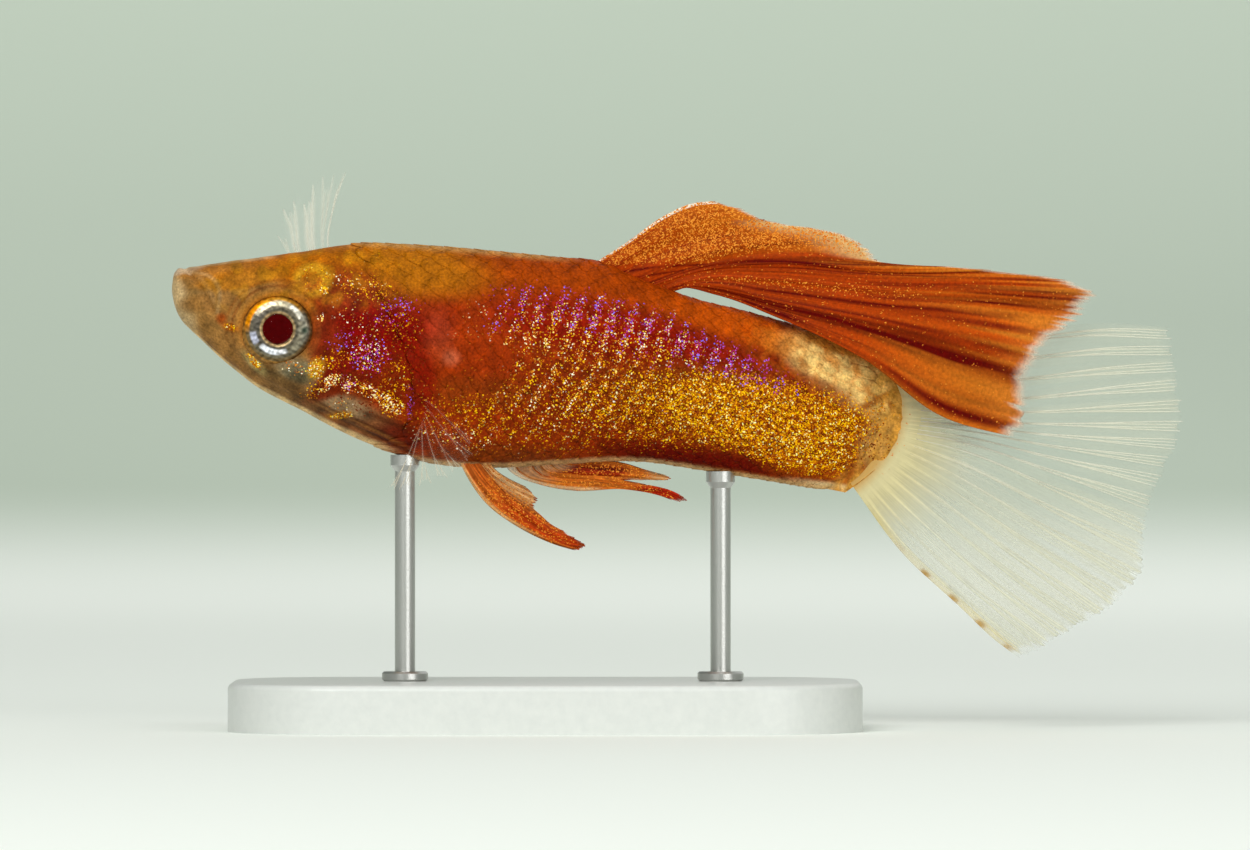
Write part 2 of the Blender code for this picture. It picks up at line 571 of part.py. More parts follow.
def make_stand(clearance):
    bm = bmesh.new()
    bmesh.ops.create_cube(bm, size=1)
    bmesh.ops.scale(bm, vec=BASE_SIZE, verts=bm.verts)
    bmesh.ops.translate(bm, vec=(0, 0, BASE_SIZE[2] / 2), verts=bm.verts)
    upright = [edge for edge in bm.edges if abs(edge.verts[0].co.z - edge.verts[1].co.z) > BASE_SIZE[2] / 2]
    bmesh.ops.bevel(bm, geom=upright, offset=BASE_ROUNDING, segments=8, profile=0.5, affect="EDGES")
    rim = [edge for edge in bm.edges if min(vertex.co.z for vertex in edge.verts) > BASE_SIZE[2] - 0.01]
    bmesh.ops.bevel(bm, geom=rim, offset=BASE_EDGE, segments=2, profile=0.5, affect="EDGES")
    base = object_from(bm, "stand_base", (0, 0, 0), "stand_base", parts, parent=None)
    rod_top = SNOUT_HEIGHT + belly(ROD_PLACES["stand_rod_front"]) + ROD_CUT_REACH
    foot = BASE_SIZE[2] - ROD_SOCKET_DEPTH
    for name, place in ROD_PLACES.items():
        x = place - STAND_CENTRE
        hole = bmesh.new()
        bmesh.ops.create_cone(
            hole, cap_ends=True, segments=ROD_SIDES, radius1=ROD_RADIUS + GAP, radius2=ROD_RADIUS + GAP, depth=4
        )
        bmesh.ops.translate(hole, vec=(x, 0, foot - GAP + 2), verts=hole.verts)
        drill = cutter_from(hole, name + "_hole", parent=None)
        cut(base, drill)
        remove(drill)
        bm = bmesh.new()
        bmesh.ops.create_cone(
            bm, cap_ends=True, segments=ROD_SIDES, radius1=ROD_RADIUS, radius2=ROD_RADIUS, depth=rod_top - foot
        )
        bmesh.ops.translate(bm, vec=(x, 0, (rod_top + foot) / 2), verts=bm.verts)
        rod = object_from(bm, name, (x, 0, foot), "stand_rod", parts, parent=None)
        cut(rod, clearance)


make_head()
make_body()
make_eyes()
body_clearance = make_clearance()
make_fin("dorsal_fin", "dorsal_fin", DORSAL_RAYS, body_clearance)
make_fin("caudal_fin", "caudal_fin", CAUDAL_RAYS, body_clearance)
make_fin("anal_fin", "anal_fin", ANAL_RAYS, body_clearance)
make_fin("pelvic_fin_left", "pelvic_fin", PELVIC_RAYS, body_clearance, mirrored=True)
make_fin("pelvic_fin_right", "pelvic_fin", PELVIC_RAYS, body_clearance)
make_fin("pectoral_fin_left", "pectoral_fin", NEAR_PECTORAL_RAYS, body_clearance)
make_fin("pectoral_fin_right", "pectoral_fin", FAR_PECTORAL_RAYS, body_clearance)
make_stand(body_clearance)
remove(body_clearance)
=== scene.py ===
import math

import bmesh
import bpy
import numpy as np
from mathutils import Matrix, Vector


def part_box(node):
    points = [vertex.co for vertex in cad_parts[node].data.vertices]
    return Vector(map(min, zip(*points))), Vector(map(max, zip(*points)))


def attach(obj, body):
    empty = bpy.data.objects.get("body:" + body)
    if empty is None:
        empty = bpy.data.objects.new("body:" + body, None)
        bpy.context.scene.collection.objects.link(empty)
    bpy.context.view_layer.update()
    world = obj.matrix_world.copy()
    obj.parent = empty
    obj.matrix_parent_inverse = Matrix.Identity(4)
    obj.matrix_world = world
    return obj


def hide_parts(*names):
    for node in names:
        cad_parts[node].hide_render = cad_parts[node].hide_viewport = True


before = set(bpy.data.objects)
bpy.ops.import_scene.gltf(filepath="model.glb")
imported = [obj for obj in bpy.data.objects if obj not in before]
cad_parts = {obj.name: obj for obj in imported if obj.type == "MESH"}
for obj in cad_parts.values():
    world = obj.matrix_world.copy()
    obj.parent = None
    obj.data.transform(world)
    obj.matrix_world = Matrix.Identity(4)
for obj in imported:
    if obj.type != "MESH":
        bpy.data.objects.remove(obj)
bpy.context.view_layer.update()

# The studio: a long lens level with the fish, a sheet of pale paper swept up behind it, and soft lamps.
# The photograph is taken square on to the left flank, so the lens looks along +Y and stays above the floor.
# Distances here are in metres, except for PIXEL, EYE_BELOW_SNOUT and SENSOR_WIDTH, which are in millimetres.
MM = 0.001
PIXEL = 0.0412
PHOTO_WIDTH = 1250
PHOTO_MIDDLE = (625, 425)
SNOUT_PIXEL = (172, 283)
EYE_BELOW_SNOUT = 1.92
LENS_DISTANCE = 0.42
SENSOR_WIDTH = 36.0

eye_low, eye_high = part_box("eye_left")
head_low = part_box("head")[0]
SNOUT = np.array((head_low[0], 0.0, (eye_low[2] + eye_high[2]) / 2 + EYE_BELOW_SNOUT * MM))


def light_value(channel):
    """One channel of a screen colour, 0 to 255, as the linear value that a shader takes."""
    share = channel / 255
    return share / 12.92 if share <= 0.04045 else ((share + 0.055) / 1.055) ** 2.4


def colour(red, green, blue):
    return np.array((light_value(red), light_value(green), light_value(blue)))


def plain_material(name, tint, roughness, metallic=0.0, specular=0.5):
    made = bpy.data.materials.new(name)
    made.use_nodes = True
    shader = made.node_tree.nodes["Principled BSDF"]
    shader.inputs["Base Color"].default_value = (*tint, 1)
    shader.inputs["Roughness"].default_value = roughness
    shader.inputs["Metallic"].default_value = metallic
    shader.inputs["Specular IOR Level"].default_value = specular
    return made


def mix_colour(tree, amount, first, second, blend="MIX"):
    """One colour mix. Amount is a number or an output, and the colours are numbers or outputs."""
    node = tree.nodes.new("ShaderNodeMix")
    node.data_type = "RGBA"
    node.blend_type = blend
    pairs = ((node.inputs[0], amount), (node.inputs[6], first), (node.inputs[7], second))
    for socket, value in pairs:
        if isinstance(value, bpy.types.NodeSocket):
            tree.links.new(value, socket)
        elif isinstance(value, (int, float)):
            socket.default_value = value
        else:
            socket.default_value = (*value, 1)
    return node.outputs[2]


def made_mesh(shape, name):
    """The bmesh shape as a mesh of its own."""
    mesh = bpy.data.meshes.new(name)
    shape.to_mesh(mesh)
    shape.free()
    return mesh


def place(obj, material):
    bpy.context.scene.collection.objects.link(obj)
    obj.data.materials.append(material)
    return obj


# The paper is one sheet, painted from PAPER_LOW on the floor to the darker PAPER_HIGH up the backdrop as
# painted shade
PAPER_LOW = colour(247, 251, 244)
PAPER_HIGH = colour(190, 202, 186)
FLOOR_NEAR = -1.20
FLOOR_FLAT_END = 0.24
BACKDROP_CURVE = 0.60
BACKDROP_LEAN = 32
BACKDROP_STEPS = 40
STUDIO_WIDTH = 3.0
PAPER_SHADE_START = 0.0004
PAPER_SHADE_END = 0.0084
AIR_TINT = colour(205, 214, 206)
AIR_STRENGTH = 0.34

floor_shape = bmesh.new()
floor_line = [(FLOOR_NEAR, 0.0), (FLOOR_FLAT_END, 0.0)]
for step in range(1, BACKDROP_STEPS + 1):
    turn = math.radians(BACKDROP_LEAN * step / BACKDROP_STEPS)
    away, up = BACKDROP_CURVE * math.sin(turn), BACKDROP_CURVE * (1 - math.cos(turn))
    floor_line.append((FLOOR_FLAT_END + away, up))
floor_edge = [floor_shape.verts.new((-STUDIO_WIDTH / 2, y, z)) for y, z in floor_line]
floor_strip = [floor_shape.edges.new(pair) for pair in zip(floor_edge, floor_edge[1:])]
swept = bmesh.ops.extrude_edge_only(floor_shape, edges=floor_strip)
swept_points = [item for item in swept["geom"] if isinstance(item, bmesh.types.BMVert)]
bmesh.ops.translate(floor_shape, vec=(STUDIO_WIDTH, 0, 0), verts=swept_points)
bmesh.ops.recalc_face_normals(floor_shape, faces=floor_shape.faces)
floor_mesh = made_mesh(floor_shape, "studio_floor")
floor_mesh.shade_smooth()
floor_material = plain_material("studio paper", PAPER_LOW, 0.9)
paper = floor_material.node_tree
paper_place = paper.nodes.new("ShaderNodeTexCoord")
paper_parts = paper.nodes.new("ShaderNodeSeparateXYZ")
paper.links.new(paper_place.outputs["Object"], paper_parts.inputs["Vector"])
paper_ramp = paper.nodes.new("ShaderNodeMapRange")
paper_ramp.interpolation_type = "SMOOTHSTEP"
paper_ramp.inputs["From Min"].default_value = PAPER_SHADE_START
paper_ramp.inputs["From Max"].default_value = PAPER_SHADE_END
paper.links.new(paper_parts.outputs["Z"], paper_ramp.inputs["Value"])
paper_tint = mix_colour(paper, paper_ramp.outputs["Result"], PAPER_LOW, PAPER_HIGH)
paper.links.new(paper_tint, paper.nodes["Principled BSDF"].inputs["Base Color"])
studio_floor = place(bpy.data.objects.new("studio_floor", floor_mesh), floor_material)

camera_data = bpy.data.cameras.new("camera")
camera = bpy.data.objects.new("camera", camera_data)
bpy.context.scene.collection.objects.link(camera)
bpy.context.scene.camera = camera
frame_width = PHOTO_WIDTH * PIXEL * MM
camera_data.sensor_width = SENSOR_WIDTH
camera_data.lens = SENSOR_WIDTH * LENS_DISTANCE / frame_width
camera_data.clip_start = 0.01
camera_data.clip_end = 20
camera.location = (
    SNOUT[0] + (PHOTO_MIDDLE[0] - SNOUT_PIXEL[0]) * PIXEL * MM,
    -LENS_DISTANCE,
    SNOUT[2] - (PHOTO_MIDDLE[1] - SNOUT_PIXEL[1]) * PIXEL * MM,
)
camera.rotation_euler = (math.radians(90), 0, 0)

bpy.context.scene.view_settings.view_transform = "Standard"
world = bpy.data.worlds.new("studio air")
bpy.context.scene.world = world
world.use_nodes = True
air = world.node_tree.nodes["Background"]
air.inputs["Color"].default_value = (*AIR_TINT, 1)
air.inputs["Strength"].default_value = AIR_STRENGTH

# Each lamp: where it stands, where it points, how wide it is and how strong
MODEL_MIDDLE = (0.004, 0, 0.014)
LAMPS = {
    "key": ((-0.16, -0.44, 0.30), MODEL_MIDDLE, 0.30, 1.75),
    "fill": ((0.30, -0.44, 0.12), MODEL_MIDDLE, 0.34, 0.95),
    "top": ((0.00, -0.04, 0.46), MODEL_MIDDLE, 0.40, 0.6),
    "back": ((0.10, 0.24, 0.20), MODEL_MIDDLE, 0.30, 0.15),
    "backdrop": ((0.00, 0.55, 0.35), (0, 0.75, 0.05), 0.50, 0.98),
}
for lamp_name, (lamp_place, lamp_aim, lamp_width, lamp_power) in LAMPS.items():
    lamp_data = bpy.data.lights.new(lamp_name, "AREA")
    lamp_data.size = lamp_width
    lamp_data.energy = lamp_power
    lamp = bpy.data.objects.new(lamp_name, lamp_data)
    lamp.location = lamp_place
    toward = Vector(lamp_aim) - Vector(lamp_place)
    lamp.rotation_euler = toward.to_track_quat("-Z", "Y").to_euler()
    bpy.context.scene.collection.objects.link(lamp)

# The skin: one closed surface of soft living skin over head, trunk and tail stalk, on the solids' outlines.
# Mouth, lips, nostrils, eye sockets and gill folds are formed in it, and its markings follow the side view.
# From here on sizes are in millimetres from the snout: X toward the tail, Y to the fish's right, Z up.
BODY_END = 30.15
GILL_STATION = 9.40
GILL_BLEND = 4.9
TAIL_LEAN_START = 24.0
TAIL_LEAN_SQUARE = -1.70
TAIL_LEAN_LINEAR = 0.72
GILL_COVER_RISE = 0.17
GILL_COVER_LENGTH = 3.6
EYE = (4.43, 1.42, -1.92)
ORBIT_RISE = 0.07
ORBIT_RADIUS = 1.66
ORBIT_SPREAD = 0.20
SKIN_SIDES = 250
SKIN_RINGS = 390
SNOUT_ROUNDING = 0.22
TAIL_ROUNDING = 0.50
TAIL_THINNING = 0.92
TAIL_THINNING_START = 26.0

BACK_LINE = (
    (0.00, -0.12), (0.06, 0.28), (0.18, 0.50), (0.50, 0.60), (1.15, 0.70), (2.00, 0.84), (3.60, 1.05),
    (5.30, 1.28), (6.90, 1.54), (7.80, 1.62), (9.40, 1.57), (11.00, 1.48), (13.50, 1.26), (16.00, 1.02),
    (17.60, 0.86), (19.00, 0.24), (20.40, -0.29), (21.75, -0.74), (23.40, -1.13), (25.00, -1.57),
    (26.70, -2.06), (28.30, -2.54), (29.20, -2.78), (30.20, -3.00),
)
BELLY_LINE = (
    (0.00, -0.36), (0.06, -0.72), (0.18, -1.12), (0.35, -1.45), (0.75, -1.90), (1.15, -2.28), (2.00, -3.08),
    (2.80, -3.74), (3.60, -4.34), (4.45, -4.80), (5.30, -5.22), (6.10, -5.66), (7.75, -6.47), (9.40, -7.06),
    (11.00, -7.44), (12.30, -7.55), (13.50, -7.56), (16.00, -7.42), (18.50, -7.30), (19.70, -7.35),
    (21.00, -7.54), (22.60, -7.80), (24.20, -8.05), (25.90, -8.34), (27.75, -8.65), (30.20, -9.00),
)
WIDEST_LINE = (
    (0.00, -0.24), (0.50, -0.60), (2.00, -1.15), (4.40, -1.95), (7.00, -2.50), (10.00, -3.00),
    (14.00, -3.30), (18.00, -3.50), (22.00, -4.15), (26.00, -5.05), (30.20, -5.95),
)
HALF_WIDTH = (
    (0.00, 0.30), (0.06, 0.62), (0.18, 0.88), (0.40, 1.12), (0.80, 1.36), (1.60, 1.64), (2.80, 1.94),
    (4.40, 2.20), (6.20, 2.40), (8.20, 2.52), (10.50, 2.60), (12.50, 2.60), (15.00, 2.46), (18.00, 2.18),
    (21.00, 1.84), (24.00, 1.48), (27.00, 1.12), (28.80, 0.86), (29.60, 0.66), (30.20, 0.42),
)
FULLNESS_ABOVE = ((0.0, 2.4), (2.0, 2.7), (6.0, 2.6), (9.0, 2.3), (14.0, 2.1), (30.2, 2.0))
FULLNESS_BELOW = ((0.0, 2.1), (3.0, 1.95), (8.0, 1.9), (12.0, 2.05), (20.0, 2.0), (30.2, 2.0))
GILL_EDGE = ((-1.0, 8.30), (-0.85, 9.20), (-0.50, 9.93), (-0.20, 9.93), (0.45, 8.78), (1.0, 7.42))


def smooth_curve(places, values):
    """A smooth curve through the values at the given places, straight beyond its ends."""
    places = np.array(places, float)
    values = np.array(values, float)
    slopes = np.gradient(values, places, axis=0)

    def value_at(wanted):
        wanted = np.asarray(wanted, float)
        index = np.clip(np.searchsorted(places, wanted) - 1, 0, len(places) - 2)
        span = places[index + 1] - places[index]
        t = np.clip((wanted - places[index]) / span, 0, 1)
        before = np.minimum(wanted - places[0], 0)
        beyond = np.maximum(wanted - places[-1], 0)
        if values.ndim > 1:
            span, t, before, beyond = (item[..., None] for item in (span, t, before, beyond))
        from_start = (1 + 2 * t) * (1 - t) ** 2 * values[index] + t * (1 - t) ** 2 * span * slopes[index]
        to_end = t * t * (3 - 2 * t) * values[index + 1] + t * t * (t - 1) * span * slopes[index + 1]
        return from_start + to_end + before * slopes[0] + beyond * slopes[-1]

    return value_at


def profile(pairs):
    places, values = zip(*pairs)
    return smooth_curve(places, values)


def ease(value):
    """0 below 0, 1 above 1, and a smooth step between."""
    value = np.clip(value, 0, 1)
    return value * value * (3 - 2 * value)


def between(value, low, high, soft):
    """1 where the value lies between low and high, falling off softly on both sides."""
    return ease((value - low) / soft + 0.5) * ease((high - value) / soft + 0.5)


def bell(value, width, power=2):
    """1 where the value is 0, falling off on both sides over the width."""
    return np.exp(-((value / width) ** power))


def over(tint, paint, amount):
    """The tint of each point with a paint laid over it, as thick as the amount there."""
    return tint + (paint - tint) * amount[:, None]


back = profile(BACK_LINE)
belly = profile(BELLY_LINE)
widest = profile(WIDEST_LINE)
half_width = profile(HALF_WIDTH)
fullness_above = profile(FULLNESS_ABOVE)
fullness_below = profile(FULLNESS_BELOW)
gill_edge = profile(GILL_EDGE)


def height_at(x, z):
    """How high a place lies in the body's section, from -1 at the belly to 1 at the back."""
    middle = widest(x)
    return np.where(z >= middle, (z - middle) / (back(x) - middle), (z - middle) / (middle - belly(x)))


def body_surface(station, angle):
    """Points of the plain body. The angle is 0 at the back and a quarter turn on the right side."""
    up = np.cos(angle)
    side = np.sin(angle)

    def lean(height):
        reach = 1 - np.minimum(np.abs(station - GILL_STATION) / GILL_BLEND, 1)
        toward_end = ease((station - TAIL_LEAN_START) / (BODY_END - TAIL_LEAN_START))
        tail = toward_end * (TAIL_LEAN_SQUARE * height * height + TAIL_LEAN_LINEAR * height)
        return ease(reach) * (gill_edge(height) - GILL_STATION) + tail

    guess = station + lean(up)
    power = np.where(up >= 0, fullness_above(guess), fullness_below(guess))
    height = np.sign(up) * np.abs(up) ** (2 / power)
    x = station + lean(height)
    middle = widest(x)
    z = middle + height * np.where(height >= 0, back(x) - middle, middle - belly(x))
    width = half_width(x) * np.abs(side) ** (2 / power)
    # The gill cover stands out ahead of its edge, and the rim of the orbit round the eye
    ahead = gill_edge(height) - x
    along = 1 - np.clip(ahead, 0, GILL_COVER_LENGTH) / GILL_COVER_LENGTH
    window = ease((height + 0.98) / 0.3) * ease((0.62 - height) / 0.35)
    cover = GILL_COVER_RISE * ease(along) * window * ease((ahead + 0.02) / 0.12)
    from_eye = np.hypot(x - EYE[0], z - EYE[2])
    orbit = ORBIT_RISE * bell(from_eye - ORBIT_RADIUS, ORBIT_SPREAD)
    width = width + (cover + orbit) * np.minimum(np.abs(side) * 2, 1)
    # The body closes in a round snout and thins to a round end under the caudal fin
    snout = np.sqrt(np.clip(1 - (1 - np.clip(station / SNOUT_ROUNDING, 0, 1)) ** 2, 0, 1))
    toward_tail = ease((station - TAIL_THINNING_START) / (BODY_END - TAIL_THINNING_START))
    width = width * (1 - TAIL_THINNING * toward_tail)
    near_end = np.clip((station - (BODY_END - TAIL_ROUNDING)) / TAIL_ROUNDING, 0, 1)
    width = width * snout * np.sqrt(np.clip(1 - near_end ** 2, 0, 1))
    return np.stack((x, np.sign(side) * width, z), axis=-1)


def line_distance(x, z, points):
    """Distance in the side view from a line of straight runs."""
    nearest = np.full(np.shape(x), 1e9)
    for (x0, z0), (x1, z1) in zip(points, points[1:]):
        dx, dz = x1 - x0, z1 - z0
        t = np.clip(((x - x0) * dx + (z - z0) * dz) / (dx * dx + dz * dz), 0, 1)
        nearest = np.minimum(nearest, np.hypot(x - x0 - t * dx, z - z0 - t * dz))
    return nearest


def smooth_line(points, steps=8):
    places = np.arange(len(points))
    return smooth_curve(places, points)(np.linspace(0, len(points) - 1, steps * (len(points) - 1) + 1))


# Folds of the head: (line in the side view, depth, width). A negative depth stands out.
MOUTH = smooth_line(((1.78, -1.16), (1.66, -0.95), (1.44, -0.54), (1.11, -0.04), (0.80, 0.34), (0.52, 0.66)))
UPPER_LIP = smooth_line(((1.98, -1.10), (1.68, -0.46), (1.34, 0.06), (1.00, 0.44), (0.72, 0.72)))
LOWER_LIP = smooth_line(((1.48, -1.20), (1.20, -0.62), (0.88, -0.12), (0.58, 0.24), (0.30, 0.56)))
JAW_FOLD = smooth_line(((1.93, -0.80), (2.02, -1.30), (1.86, -1.85), (1.55, -2.35)))
CHIN_FOLD = smooth_line(((2.30, -2.55), (3.20, -3.55), (4.20, -4.25), (5.20, -4.80)))
PREOPERCLE = smooth_line(((6.30, -1.10), (6.55, -2.30), (6.30, -3.40), (5.60, -4.20), (4.70, -4.60)))
OPERCLE_FOLD = smooth_line(((7.00, -4.60), (8.20, -4.85), (9.20, -5.40)))
THROAT_FOLD = smooth_line(((6.20, -5.35), (7.60, -5.95), (8.90, -6.55)))
CHEEK_FOLD = smooth_line(((6.60, -4.95), (7.90, -5.45), (9.00, -6.05)))
NOSE_FOLD = smooth_line(((1.70, 0.30), (2.30, -0.05), (3.00, -0.30)))
FOLDS = (
    (MOUTH, 0.10, 0.075), (UPPER_LIP, -0.035, 0.13), (LOWER_LIP, -0.040, 0.14), (JAW_FOLD, 0.050, 0.10),
    (CHIN_FOLD, 0.030, 0.12), (PREOPERCLE, 0.035, 0.11), (OPERCLE_FOLD, 0.025, 0.10),
    (THROAT_FOLD, 0.045, 0.09), (CHEEK_FOLD, 0.030, 0.08), (NOSE_FOLD, 0.025, 0.12),
)
NOSTRILS = ((2.05, 0.26, 0.10), (2.55, 0.46, 0.08))
NOSTRIL_DEPTH = 0.12
EYE_OPENING = 1.38
EYE_OPENING_TALL = 0.94
SOCKET_DEPTH = 0.85
COAT_DEPTH = 0.05
COAT_END = 29.4
UNEVENNESS = 0.012


def markings(x, z):
    """Soft oval patches of colour laid one over another on the ground colour."""
    tint = np.tile(GROUND, (len(x), 1))
    for centre_x, centre_z, long_radius, short_radius, tilt, paint, strength, soft in MARKS:
        amount = strength * oval(x, z, centre_x, centre_z, long_radius, short_radius, tilt, soft)
        tint = over(tint, paint, amount)
    return tint


def oval(x, z, centre_x, centre_z, long_radius, short_radius, tilt, soft):
    """1 inside an oval seen from the side and 0 outside, with an edge as soft as asked."""
    turn = math.radians(tilt)
    along = (x - centre_x) * math.cos(turn) + (z - centre_z) * math.sin(turn)
    across = (z - centre_z) * math.cos(turn) - (x - centre_x) * math.sin(turn)
    reach = np.hypot(along / long_radius, across / short_radius)
    return ease((1 - reach) / soft + 0.5)


def ring_noise(x, z, size, seed):
    """Smooth blotches of about the given size, from a few summed waves."""
    draw = np.random.default_rng(seed)
    total = np.zeros(np.shape(x))
    for wave in range(9):
        turn = draw.uniform(0, math.pi)
        pace = math.tau / (size * draw.uniform(0.6, 1.6))
        total += np.sin((x * math.cos(turn) + z * math.sin(turn)) * pace + draw.uniform(0, math.tau))
    return total / 3


def colour_attribute(mesh, name, values):
    layer = mesh.color_attributes.new(name, "FLOAT_COLOR", "POINT")
    rgba = np.ones((len(values), 4), np.float32)
    rgba[:, :3] = np.clip(values, 0, 4)
    layer.data.foreach_set("color", rgba.ravel())


def value_attribute(mesh, name, values):
    layer = mesh.attributes.new(name, "FLOAT", "POINT")
    layer.data.foreach_set("value", np.asarray(values, np.float32))


GROUND = colour(150, 58, 12)
TAN = colour(164, 122, 68)
OCHRE = colour(184, 110, 8)
YELLOW = colour(205, 150, 28)
RUST = colour(140, 56, 20)
DEEP_RED = colour(134, 6, 3)
RED = colour(138, 22, 6)
GLASSY_TAN = colour(132, 100, 62)
CREAM = colour(246, 208, 132)
GOLDEN_BROWN = colour(142, 74, 10)
BELLY_RED = colour(104, 12, 4)
PINK_HAZE = colour(206, 110, 84)

